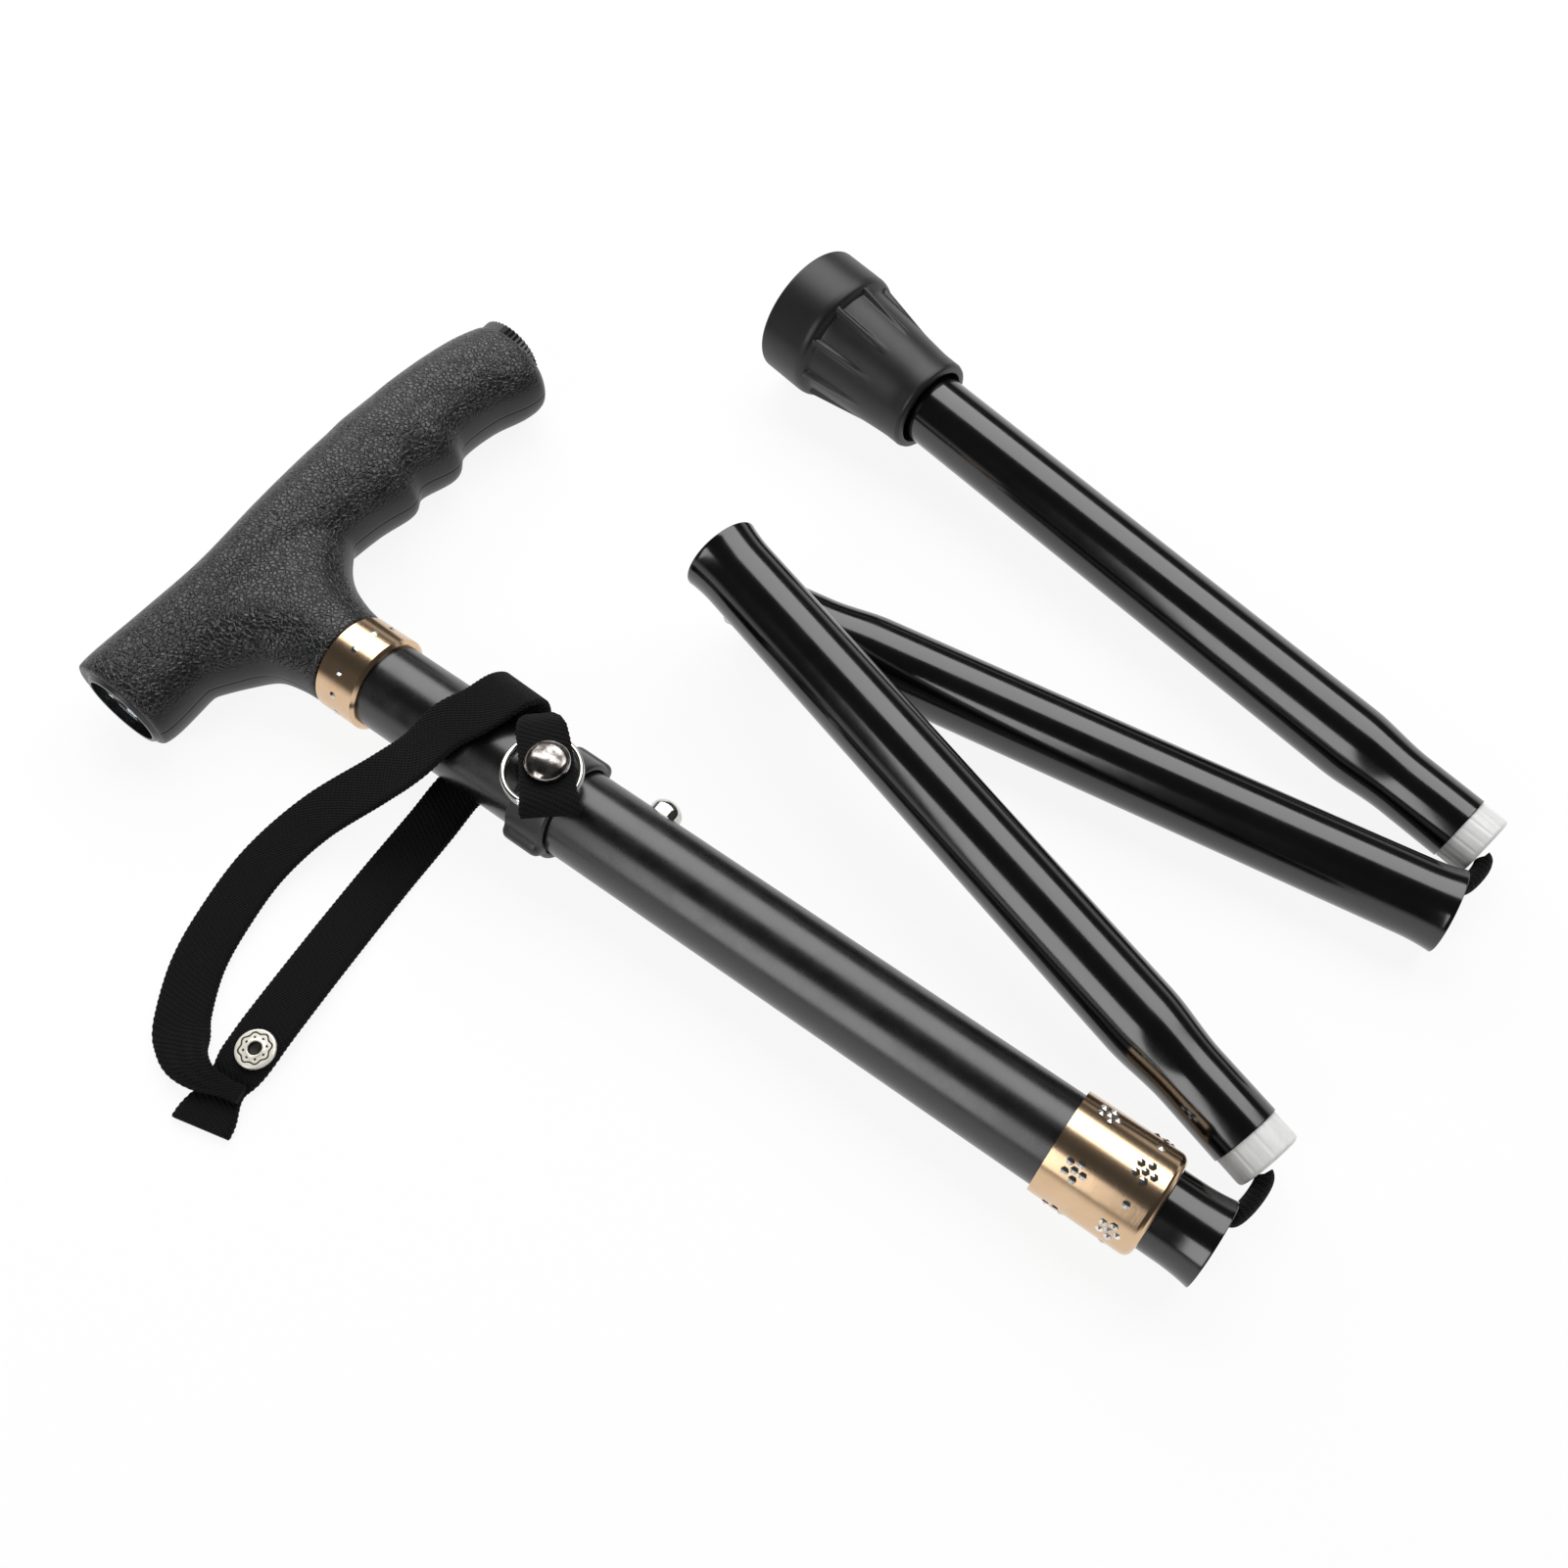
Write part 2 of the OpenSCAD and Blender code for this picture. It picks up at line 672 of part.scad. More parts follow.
module elastic_cord_1() {
  color("#141414") upper_frame()
    pipe(-anchor_from_mouth + anchor_len / 2 + press_gap, -socket_depth - press_gap, cord_r);
}
// The button and the leaf spring that pushes it out
button_flange_t = 1;
button_flange_r = 5;
button_flange_y = 5.8;
button_round = 3;
module snap_button() {
  r = button_d / 2;
  top = upper_r + button_rise;
  dome = [
    for (i = [0 : round_steps])
    let (a = 90 * i / round_steps)
    [r * cos(a), top - button_round + button_round * sin(a)]
  ];
  color("silver") upper_frame() translate([-button_from_mouth, 0, 0]) rotate([-90, 0, 0])
    rotate_extrude() polygon(concat(
      [[0, button_flange_y], [button_flange_r, button_flange_y],
        [button_flange_r, button_flange_y + button_flange_t], [r, button_flange_y + button_flange_t]],
      dome
    ));
}
leaf_t = 0.6;
leaf_w = 6;
leaf_len = 24;
leaf_over = 1;
module snap_spring() {
  open_end = -button_from_mouth - button_flange_r - leaf_over;
  shut_end = open_end + leaf_len;
  high = button_flange_y - press_gap;
  low = -lower_bore_r + leaf_t;
  color("silver") upper_frame() translate([0, 0, -leaf_w / 2]) linear_extrude(leaf_w) polygon([
    [open_end, high], [open_end, high - leaf_t], [shut_end - 2 * leaf_t, 0],
    [open_end, low + leaf_t], [open_end, low], [shut_end, -leaf_t], [shut_end, leaf_t]
  ]);
}

// Exposed elastic: straight out of a mouth, round the bend and into the next plug
bend_steps = 12;
function bend_path(from, to, out, reach) = [
  for (i = [0 : bend_steps])
  bezier_point(from, from + [reach, 0, 0], to + out * reach, to, i / bend_steps)
];
module cord_loop(inside, to, out, normal, reach) {
  path = concat(
    [[-inside, 0, 0], [-inside / 2, 0, 0]],
    bend_path([0, 0, 0], to + out * loop_end, out, reach),
    [to]
  );
  color("#141414") swept_cord(path, cord_r, normal);
}
function plug_tip(gap, pivot, axis, angle) = turned_point([gap, 0, 0], pivot, axis, angle);
function plug_out(axis, angle) = -turned_vector([1, 0, 0], axis, angle);
module elastic_loop_1() {
  axis = leaning(fold_1_lean);
  out = plug_out(axis, fold_1_turn);
  upper_frame()
    cord_loop(socket_depth, plug_tip(plug_gap, fold_1_pivot, axis, fold_1_turn) + out * seat_gap,
      out, axis, loop_reach);
}
module elastic_loop_2_upper() {
  color("#141414") section_2_frame() translate([section_len, 0, 0])
    pipe(-socket_depth, -swing_back - cord_r / 2 - seat_gap, cord_r);
}
module elastic_loop_2_lower() {
  out = plug_out(fold_2_axis, fold_2_turn);
  tip = plug_tip(fold_2_gap, fold_2_pivot, fold_2_axis, fold_2_turn);
  swing_frame() cord_loop(swing_back, tip + out * seat_gap, out, fold_2_axis, swing_loop_reach);
}
module elastic_loop_3() {
  axis = leaning(fold_3_lean);
  out = plug_out(axis, fold_3_turn);
  section_3_frame() translate([section_len, 0, 0])
    cord_loop(socket_depth, plug_tip(plug_gap, fold_3_pivot, axis, fold_3_turn) + out * seat_gap,
      out, -axis, loop_reach);
}

// One folding section, along +X from its plug tip
module section_tube(length) {
  color("#101010") turned(concat(
    [[neck_bore_r, plug_len], [socket_r, plug_len], [socket_r, neck_end], [lower_r, taper_end]],
    flare_outer(length),
    flare_inner(length),
    [[lower_bore_r, taper_end], [neck_bore_r, neck_end]]
  ));
}
module section_plug() {
  color("#f2f2ef") turned([
    [cord_hole_r, 0], [plug_r - plug_chamfer, 0], [plug_r, plug_chamfer],
    [plug_r, plug_len - press_gap], [neck_bore_r - press_gap, plug_len - press_gap],
    [neck_bore_r - press_gap, plug_len + plug_stem_len], [cord_hole_r, plug_len + plug_stem_len]
  ]);
}
module section_cord(to) {
  color("#141414") pipe(press_gap, to, cord_r);
}
module section_2_tube() {
  section_2_frame() section_tube(section_len);
}
module section_2_plug() {
  section_2_frame() section_plug();
}
module elastic_cord_2() {
  section_2_frame() section_cord(section_len - socket_depth - press_gap);
}
module section_3_tube() {
  section_3_frame() section_tube(section_len);
}
module section_3_plug() {
  section_3_frame() section_plug();
}
module elastic_cord_3() {
  section_3_frame() section_cord(section_len - socket_depth - press_gap);
}

// Last section: its tube stands on a washer in the rubber tip
tip_floor = 8;
washer_t = 1.2;
knot_len = 6;
knot_r = 5.2;
tip_plug_len = 9;
last_tube_end = last_len - tip_floor - washer_t - press_gap;
tip_plug_end = last_tube_end - knot_len - 2 * press_gap;
module section_4_tube() {
  color("#101010") section_4_frame() turned([
    [neck_bore_r, plug_len], [socket_r, plug_len], [socket_r, neck_end], [lower_r, taper_end],
    [lower_r, last_tube_end], [lower_bore_r, last_tube_end],
    [lower_bore_r, taper_end], [neck_bore_r, neck_end]
  ]);
}
module section_4_plug() {
  section_4_frame() section_plug();
}
module elastic_cord_4() {
  section_4_frame() section_cord(tip_plug_end);
}
module tip_plug() {
  color("#f2f2ef") section_4_frame()
    pipe(tip_plug_end - tip_plug_len, tip_plug_end, lower_bore_r - press_gap, cord_hole_r);
}
module cord_knot() {
  knot = [
    for (i = [0 : 2 * round_steps])
    let (a = 90 - 90 * i / round_steps)
    [knot_r * cos(a), tip_plug_end + press_gap + knot_len / 2 * (1 - sin(a))]
  ];
  color("#141414") section_4_frame() turned(knot);
}
module tip_washer() {
  color("silver") section_4_frame()
    pipe(last_len - tip_floor - washer_t, last_len - tip_floor, lower_r - press_gap);
}
// Along the tip from its foot, its radius between the lip's and the foot's, as shares
tip_shares = [
  [0.00, 0.94], [0.02, 1.00], [0.27, 1.00], [0.31, 0.93], [0.33, 0.80], [0.36, 0.55], [0.50, 0.40],
  [0.69, 0.22], [0.86, 0.06], [0.88, 0.05], [0.97, 0.05], [1.00, -0.02]
];
gusset_t = 2.2;
gusset_low_share = 0.3;
gusset_high_share = 0.72;
gusset_foot_share = 0.86;
groove_count = 3;
groove_depth = 0.8;
groove_w = 1.4;
module rubber_tip() {
  lip_r = lip_d / 2;
  foot_r = tip_d / 2;
  outside = [
    for (s = tip_shares)
    [lip_r + (foot_r - lip_r) * s[1], last_len - tip_len * s[0]]
  ];
  cavity_r = lower_r + press_gap;
  top = last_len - tip_len;
  floor_x = last_len - tip_floor;
  color("#1a1a1a") section_4_frame() difference() {
    union() {
      turned(concat(
        [[0, floor_x], [0, last_len]],
        outside,
        [[cavity_r, top], [cavity_r, floor_x]]
      ));
      for (i = [0 : gusset_count - 1]) rotate([360 * i / gusset_count, 0, 0])
        rotate([90, 0, 0]) translate([0, 0, -gusset_t / 2]) linear_extrude(gusset_t) polygon([
          [last_len - tip_len * gusset_low_share, lip_r],
          [last_len - tip_len * gusset_low_share, lip_r + (foot_r - lip_r) * gusset_foot_share],
          [last_len - tip_len * gusset_high_share, lip_r + gusset_t / 2],
          [last_len - tip_len * gusset_high_share, lip_r - gusset_t / 2]
        ]);
    }
    for (i = [1 : groove_count])
      pipe(last_len - groove_depth, last_len + overrun,
        foot_r * i / (groove_count + 1) + groove_w / 2, foot_r * i / (groove_count + 1) - groove_w / 2);
  }
}

handle();
handle_band();
torch_bezel();
torch_lens();
torch_reflector();
led_board();
torch_barrel();
torch_cells();
cell_spring();
torch_cap();
outer_tube();
shaft_collar();
guide_bush();
strap_clip();
strap_ring();
strap_tab();
snap_cap();
wrist_strap();
strap_rivet();
inner_tube();
top_guide();
cord_anchor();
elastic_cord_1();
snap_spring();
snap_button();
elastic_loop_1();
elastic_loop_2_upper();
elastic_loop_2_lower();
elastic_loop_3();
section_2_tube();
section_2_plug();
elastic_cord_2();
section_3_tube();
section_3_plug();
elastic_cord_3();
section_4_tube();
section_4_plug();
elastic_cord_4();
tip_plug();
cord_knot();
tip_washer();
rubber_tip();
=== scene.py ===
"""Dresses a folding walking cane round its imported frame: grip, finishes, webbing, elastic and rubber."""
import json
import math

import bmesh
import bpy
import numpy as np
from bpy.props import FloatProperty, FloatVectorProperty, IntProperty, PointerProperty, StringProperty
from bpy.types import Operator, Panel, PropertyGroup
from mathutils import Matrix, Vector

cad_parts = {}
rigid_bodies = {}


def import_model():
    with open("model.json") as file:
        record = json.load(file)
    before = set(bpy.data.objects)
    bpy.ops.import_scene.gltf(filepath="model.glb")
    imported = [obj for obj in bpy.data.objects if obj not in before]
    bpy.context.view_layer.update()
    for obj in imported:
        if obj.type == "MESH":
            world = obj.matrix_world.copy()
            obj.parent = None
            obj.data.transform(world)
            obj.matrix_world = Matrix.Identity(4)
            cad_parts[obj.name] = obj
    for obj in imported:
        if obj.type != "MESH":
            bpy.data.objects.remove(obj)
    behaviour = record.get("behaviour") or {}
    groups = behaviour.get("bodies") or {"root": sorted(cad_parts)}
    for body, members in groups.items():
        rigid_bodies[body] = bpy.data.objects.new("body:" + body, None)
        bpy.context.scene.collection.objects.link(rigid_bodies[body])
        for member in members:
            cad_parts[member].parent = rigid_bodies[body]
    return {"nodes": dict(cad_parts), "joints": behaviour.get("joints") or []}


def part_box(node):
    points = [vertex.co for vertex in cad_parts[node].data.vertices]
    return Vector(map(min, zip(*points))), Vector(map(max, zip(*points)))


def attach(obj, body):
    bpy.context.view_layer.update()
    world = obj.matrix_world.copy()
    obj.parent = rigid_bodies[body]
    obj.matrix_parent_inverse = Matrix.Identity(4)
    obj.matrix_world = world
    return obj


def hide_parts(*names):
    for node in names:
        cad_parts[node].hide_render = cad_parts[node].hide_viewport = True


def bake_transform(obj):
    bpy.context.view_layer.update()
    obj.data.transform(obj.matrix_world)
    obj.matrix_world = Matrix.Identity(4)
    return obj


bl_info = {
    "name": "Folding cane",
    "version": (1, 0, 0),
    "blender": (4, 5, 0),
    "location": "3D View > Sidebar > Cane",
    "description": "Builds the visible pieces of a folding walking cane round its packed frame",
    "category": "Object",
}

for leftover in list(bpy.data.objects):
    bpy.data.objects.remove(leftover)
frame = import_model()
bpy.context.view_layer.update()
NODES = frame["nodes"]
MM = 0.001

# The upper shaft runs along X, and its mouth is the end of the inner tube.
INNER_LOW, INNER_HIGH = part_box("inner_tube")
SHAFT = Vector((INNER_HIGH.x, (INNER_LOW.y + INNER_HIGH.y) / 2, (INNER_LOW.z + INNER_HIGH.z) / 2))
ALONG = Vector((1, 0, 0))
UP = Vector((0, 0, 1))

# Turned pieces are drawn along X, and these lay them along Y, back along X, or stand them upright.
TO_SIDE = Matrix.Rotation(math.pi / 2, 4, "Z")
TO_BACK = Matrix.Rotation(math.pi, 4, "Z")
TO_TOP = Matrix.Rotation(-math.pi / 2, 4, "Y")


# Sizes and colours that a user would change

def length(name, description, default):
    return FloatProperty(name=name, description=description, default=default * MM, unit="LENGTH", precision=5)


def tint(name, description, default):
    return StringProperty(name=name, description=description + ", as an sRGB hex value", default=default)


def lean(name, description, degrees):
    return FloatProperty(name=name, description=description, default=math.radians(degrees), subtype="ANGLE")


def share(name, description, default, least=0):
    return FloatProperty(name=name, description=description, default=default, subtype="FACTOR",
                         min=least, max=1)


class StageSizes(PropertyGroup):
    """The floor, the lamps and the camera."""
    camera_place: FloatVectorProperty(name="Camera place", description="Where the camera stands",
                                      default=(0.109485, -0.142811, 0.3411), subtype="XYZ", unit="LENGTH")
    camera_target: FloatVectorProperty(name="Camera target", description="The point that the camera looks at",
                                       default=(0.000973, 0.006219, 0), subtype="XYZ", unit="LENGTH")
    camera_lens: FloatProperty(name="Lens", description="Focal length on a 36 mm sensor", default=36.61,
                               unit="CAMERA")
    floor_size: length("Floor", "Side of the square floor", 12000)
    floor_share: share("Floor glow", "Share of the floor's white that shadows can't dim", 0.9)
    lamp_distance: length("Lamp distance", "How far each softbox stands from the cane", 1100)
    back_lamp_angle: lean("Back lamp", "Lean of the back softbox from overhead", 34)
    front_lamp_angle: lean("Front lamp", "Lean of the front softbox from overhead", -57)
    back_shift_angle: lean("Back shift", "Lean of the back softbox towards the handle", 16)
    front_shift_angle: lean("Front shift", "Lean of the front softbox towards the handle", 8)
    back_lamp_width: length("Back lamp width", "Width of the back softbox across the shaft", 900)
    front_lamp_width: length("Front lamp width", "Width of the front softbox across the shaft", 780)
    back_lamp_length: length("Back lamp length", "Length of the back softbox along the shaft", 2200)
    front_lamp_length: length("Front lamp length", "Length of the front softbox along the shaft", 490)
    back_lamp_power: FloatProperty(name="Back power", description="Power of the back softbox", default=22,
                                   unit="POWER")
    front_lamp_power: FloatProperty(name="Front power", description="Power of the front softbox", default=4.4,
                                    unit="POWER")
    floor_colour: tint("Floor colour", "White of the floor", "#f4f4f4")
    sky_colour: tint("Sky colour", "White at the horizon", "#ffffff")


class GripSizes(PropertyGroup):
    """The T-shaped handle, measured as the solid is."""
    bar_len: length("Bar length", "Length of the handle bar", 138.5)
    bar_depth: length("Bar depth", "Depth of the bar along the shaft", 32.5)
    bar_thick: length("Bar thickness", "Thickness of the handle", 26)
    bar_from_mouth: length("Bar place", "From the shaft's mouth to the underside of the bar", 258)
    lens_side_share: share("Lens side", "Share of the bar on the lens side", 0.304)
    neck_r: length("Neck radius", "Radius of the neck at the gold band", 12.2)
    neck_from_mouth: length("Neck place", "From the shaft's mouth to the foot of the neck", 238)
    neck_rise: length("Neck rise", "From the foot of the neck to the heart of the bar", 30)
    torch_from_mouth: length("Torch place", "From the shaft's mouth to the torch's axis", 272.7)
    bezel_r: length("Bezel radius", "Radius of the recess for the lens bezel", 11.05)
    bezel_depth: length("Bezel depth", "Depth of the recess for the lens bezel", 12)
    barrel_r: length("Barrel radius", "Radius of the bore for the torch barrel", 8.5)
    tube_r: length("Tube radius", "Radius of the bore for the upper tube", 11.05)
    tube_depth: length("Tube depth", "How far the upper tube goes into the handle", 23.05)
    voxel: length("Voxel", "Size of the cells that join the bar and the neck", 0.75)
    grain: length("Grain", "Width of one pebble of the moulded grain", 1.1)
    colour: tint("Colour", "Moulded grip", "#141516")


class TubeSizes(PropertyGroup):
    """The black tubes and the white plugs."""
    tube_r: length("Tube radius", "Outside radius of a lower tube", 9.5)
    wall: length("Wall", "Wall of a lower tube", 0.9)
    neck_r: length("Neck radius", "Outside radius of the narrowed neck", 8.3)
    neck_wall: length("Neck wall", "Wall of the narrowed neck", 0.8)
    neck_len: length("Neck length", "Length of the narrowed neck", 20)
    taper_len: length("Taper length", "Length of the taper from the neck to the full tube", 8)
    mouth_r: length("Mouth radius", "Radius of a flared mouth", 10.2)
    mouth_flare: length("Flare length", "Length of the flare at a mouth", 8)
    lip_r: length("Lip", "Rounding of the cut edges", 0.25)
    plug_r: length("Plug radius", "Radius of a plug where it stands out", 7.9)
    plug_out: length("Plug length", "Length of a plug that stands out of its tube", 7)
    plug_stem_r: length("Stem radius", "Radius of the plug inside the neck", 7.45)
    plug_stem: length("Stem length", "Length of the plug inside the neck", 15)
    plug_hole_r: length("Cord hole", "Radius of the hole for the cord", 3.2)
    flutes: IntProperty(name="Flutes", description="Number of shallow flutes round a plug", default=18)
    flute_depth: length("Flute depth", "Depth of one flute", 0.16)
    button_hole_r: length("Button hole", "Radius of the hole for the snap button", 4.2)
    colour: tint("Colour", "Black of all the tubes", "#050506")
    nylon_colour: tint("Nylon", "White of the plugs", "#e4e4e2")


class FittingSizes(PropertyGroup):
    """The gold rings, their ornament, the snap button, the clip and the split ring."""
    gold_colour: tint("Gold", "Champagne gold plate", "#e2c5a6")
    steel_colour: tint("Nickel", "Bright nickel plate", "#dedcd8")
    dot_r: length("Dot", "Radius of one cut dot", 0.95)
    dot_rise: length("Dot rise", "Height of one cut dot", 0.38)
    flower_r: length("Flower", "From a flower's heart to its petals", 1.95)
    button_r: length("Button radius", "Radius of the snap button", 4)
    snap_r: length("Snap radius", "Radius of the snap cap", 5.4)
    wire_r: length("Wire", "Radius of the split ring's wire", 0.68)
    clip_edge: length("Clip edge", "Rounding of the clip's edges", 0.9)
    clip_r: length("Clip radius", "Outside radius of the strap clip", 12.8)
    lug_r: length("Lug radius", "Radius of the clip's side bulges", 2.7)
    lug_sink: length("Lug sink", "How far a bulge's axis lies inside the clip's radius", 1.2)


class StrapSizes(PropertyGroup):
    """The wrist strap and the snap tab, on the same routes as their solids."""
    width: length("Strap width", "Width of the webbing", 13)
    thick: length("Strap thickness", "Thickness of the webbing", 1.6)
    reach: length("Strap reach", "How far the strap reaches from the shaft", 103.5)
    from_mouth: length("Strap place", "From the shaft's mouth to where the strap wraps", 194)
    slack: length("Strap slack", "How far the wrap stands off the tube at its loosest", 6)
    clear: length("Strap clearance", "Gap between the webbing and the floor", 0.2)
    wrap_gap: length("Wrap gap", "Gap between the webbing and the tube", 0.25)
    tube_r: length("Tube radius", "Radius of the upper tube", 11)
    tab_width: length("Tab width", "Width of the snap tab", 12.5)
    tab_thick: length("Tab thickness", "Thickness of the snap tab", 1.4)
    tab_len: length("Tab length", "Length that the tab's route is drawn in", 38)
    tab_drop: length("Tab drop", "How far a full share of dip lowers the tab's ends", 13)
    tab_rise: length("Tab rise", "From the shaft's axis to the middle of the tab", 17.2)
    clip_from_mouth: length("Clip place", "From the shaft's mouth to the middle of the clip", 172.5)
    thread: length("Thread", "Spacing of the threads that show in the weave", 1.25)
    scallop: length("Scallop", "How far the weft loops stand out of the edge", 0.16)
    rivet_r: length("Rivet radius", "Radius of the eyelet rivet", 4.6)
    colour: tint("Colour", "Black webbing", "#09090a")


class ElasticSizes(PropertyGroup):
    """The elastic cord and its loop at each fold."""
    cord_r: length("Cord radius", "Radius of the elastic cord", 2.6)
    flat_share: share("Flatness", "Share of its width that the stretched cord is thick", 0.75, least=0.3)
    reach: length("Loop reach", "How far each end of a loop is drawn straight out", 1.8)
    mouth_lean: length("Lean at a mouth", "How far the taut cord lies off the middle of a mouth", 6.8)
    plug_lean: length("Lean at a plug", "How far the taut cord lies off the middle of a plug", 2.8)
    inside: length("Hidden length", "Length of a loop's end inside its tube", 36)
    braid: length("Braid", "Spacing of the braid's strands", 1.3)
    colour: tint("Colour", "Black braided elastic", "#0a0a0b")


class TipSizes(PropertyGroup):
    """The rubber tip."""
    tip_len: length("Tip length", "Length of the rubber tip", 46.5)
    foot_r: length("Foot radius", "Radius of the tip's foot", 18.1)
    lip_r: length("Lip radius", "Radius of the tip's upper lip", 12.6)
    cavity_r: length("Cavity radius", "Radius of the hollow for the tube", 9.55)
    floor: length("Floor", "Thickness of the rubber under the tube", 8)
    gussets: IntProperty(name="Gussets", description="Number of gussets round the tip", default=10)
    gusset_w: length("Gusset width", "Thickness of one gusset", 1.5)
    lip_gap: length("Lip gap", "How far the lip stands off the tube", 1.0)
    groove: length("Groove depth", "Depth of the rings under the foot", 0.8)
    groove_w: length("Groove width", "Width of the rings under the foot", 1.4)
    colour: tint("Colour", "Black rubber", "#0c0c0d")


# Small tools

def linear(code):
    """An sRGB hex value as linear red, green, blue and alpha."""
    parts = [int(code[i:i + 2], 16) / 255 for i in (1, 3, 5)]
    return [p / 12.92 if p <= 0.04045 else ((p + 0.055) / 1.055) ** 2.4 for p in parts] + [1.0]


def fill_inputs(tree, node, links):
    """Sets a node's inputs to values, or links them from sockets or from the first open socket of nodes."""
    for key, value in links.items():
        if isinstance(value, bpy.types.Node):
            value = next(socket for socket in value.outputs if socket.enabled)
        if isinstance(value, bpy.types.NodeSocket):
            tree.links.new(value, node.inputs[key])
        else:
            node.inputs[key].default_value = value


def add_node(tree, kind, links=None, **settings):
    """A node of that kind, with its settings made and its inputs filled."""
    made = tree.nodes.new(kind)
    for key, value in settings.items():
        setattr(made, key, value)
    fill_inputs(tree, made, links or {})
    return made


def unit(v):
    return v / np.linalg.norm(v, axis=-1, keepdims=True)


def run_of(path):
    """How far along a path each of its points lies."""
    return np.concatenate([[0], np.cumsum(np.linalg.norm(np.diff(path, axis=0), axis=1))])


def smooth_step(low, high, x):
    t = np.clip((np.asarray(x, float) - low) / (high - low), 0, 1)
    return t * t * (3 - 2 * t)


def spline(points, steps):
    """A smooth curve through the points, with that many steps to each span."""
    p = np.asarray(points, float)
    p = np.vstack([p[0], p, p[-1]])
    t = np.linspace(0, 1, steps, endpoint=False)[:, None]
    spans = [
        0.5 * (2 * b + (c - a) * t + (2 * a - 5 * b + 4 * c - d) * t**2 + (3 * b - a - 3 * c + d) * t**3)
        for a, b, c, d in zip(p, p[1:], p[2:], p[3:])
    ]
    return np.vstack([*spans, p[-1:]])


def bezier(a, b, c, d, steps):
    t = np.linspace(0, 1, steps)[:, None]
    return a * (1 - t)**3 + 3 * b * t * (1 - t)**2 + 3 * c * t**2 * (1 - t) + d * t**3


def tangents(path):
    return unit(np.gradient(np.asarray(path, float), axis=0))


def rounded(corners, steps=5):
    """A closed outline from corners of [radius, place, rounding], with each corner drawn as an arc."""
    outline = []
    for k, (radius, place, rounding) in enumerate(corners):
        corner = np.array((radius, place))
        before = np.array(corners[k - 1][:2])
        after = np.array(corners[(k + 1) % len(corners)][:2])
        a = corner + unit(before - corner) * rounding
        b = corner + unit(after - corner) * rounding
        for t in np.linspace(0, 1, steps if rounding else 1):
            outline.append((1 - t)**2 * a + 2 * t * (1 - t) * corner + t**2 * b if rounding else corner)
    return np.array(outline)


def mesh_object(name, mesh, material):
    mesh.materials.clear()
    mesh.materials.append(material)
    made = bpy.data.objects.new(name, mesh)
    bpy.context.scene.collection.objects.link(made)
    return made


def smooth_shade(mesh, sharp):
    """Shades a mesh smooth where its faces meet at less than an angle in degrees."""
    mesh.shade_smooth()
    mesh.set_sharp_from_angle(angle=math.radians(sharp))


def skin(name, rings, material, looped=False, capped=True, sharp=50):
    """A mesh over rings of points, with a UV map in metres round and along it. Poles are merged."""
    rings = np.asarray(rings, float)
    count, sides = rings.shape[:2]
    centres = rings.mean(axis=1)
    along = run_of(centres)
    widest = max(range(count), key=lambda i: np.linalg.norm(rings[i] - centres[i]))
    around = run_of(np.vstack([rings[widest], rings[widest][:1]]))
    faces = []
    corners = []
    for i in range(count if looped else count - 1):
        k = (i + 1) % count
        near = along[i]
        far = along[k] if k else near
        for j in range(sides):
            n = (j + 1) % sides
            faces.append((i * sides + j, i * sides + n, k * sides + n, k * sides + j))
            corners += [(around[j], near), (around[j + 1], near), (around[j + 1], far), (around[j], far)]
    if capped and not looped:
        for first in (0, (count - 1) * sides):
            faces.append(tuple(range(first, first + sides)))
            corners += [(around[j], along[first // sides]) for j in range(sides)]
    mesh = bpy.data.meshes.new(name)
    mesh.from_pydata(rings.reshape(-1, 3).tolist(), [], faces)
    layer = mesh.uv_layers.new(name="surface")
    layer.data.foreach_set("uv", np.array(corners, np.float32).ravel())
    close_seams(mesh)
    smooth_shade(mesh, sharp)
    return mesh_object(name, mesh, material)


def close_seams(mesh):
    """Merges doubled points and turns the faces outwards."""
    nearest = 1e-7
    work = bmesh.new()
    work.from_mesh(mesh)
    bmesh.ops.remove_doubles(work, verts=work.verts, dist=nearest)
    bmesh.ops.recalc_face_normals(work, faces=work.faces)
    work.to_mesh(mesh)
    work.free()


def turned(name, outline, place, material, sides=96, looped=True, ripple=None, sharp=50):
    """A piece turned about its own X axis from [radius, place] points, and set down by a matrix."""
    angles = np.linspace(0, 2 * math.pi, sides, endpoint=False)
    rings = []
    for radius, x in outline:
        r = radius if ripple is None else radius + ripple(radius, x, angles)
        rings.append(np.column_stack([np.full(sides, x), r * np.cos(angles), r * np.sin(angles)]))
    return skin(name, set_down(np.array(rings), place), material, looped=looped, capped=False, sharp=sharp)


def set_down(points, place):
    """Points moved by a matrix."""
    matrix = np.array(place)
    return points @ matrix[:3, :3].T + matrix[:3, 3]


def rod(name, radius, start, end, place, material):
    """A plain rod along its own X axis, to cut or drill with."""
    outline = [[0, start], [radius, start], [radius, end], [0, end]]
    return turned(name, outline, place, material, looped=False)


def swept_cord(name, path, radius, normal, material, sides=18, flat=1.0):
    """A cord along a path that bends about one normal, flattened across the bend by a share."""
    t = tangents(path)
    n = unit(np.cross(np.asarray(normal, float), t))
    b = np.cross(t, n)
    angles = np.linspace(0, 2 * math.pi, sides, endpoint=False)
    rings = [
        p + radius * (np.cos(angles)[:, None] * bb + flat * np.sin(angles)[:, None] * nn)
        for p, bb, nn in zip(np.asarray(path, float), b, n)
    ]
    return skin(name, rings, material)


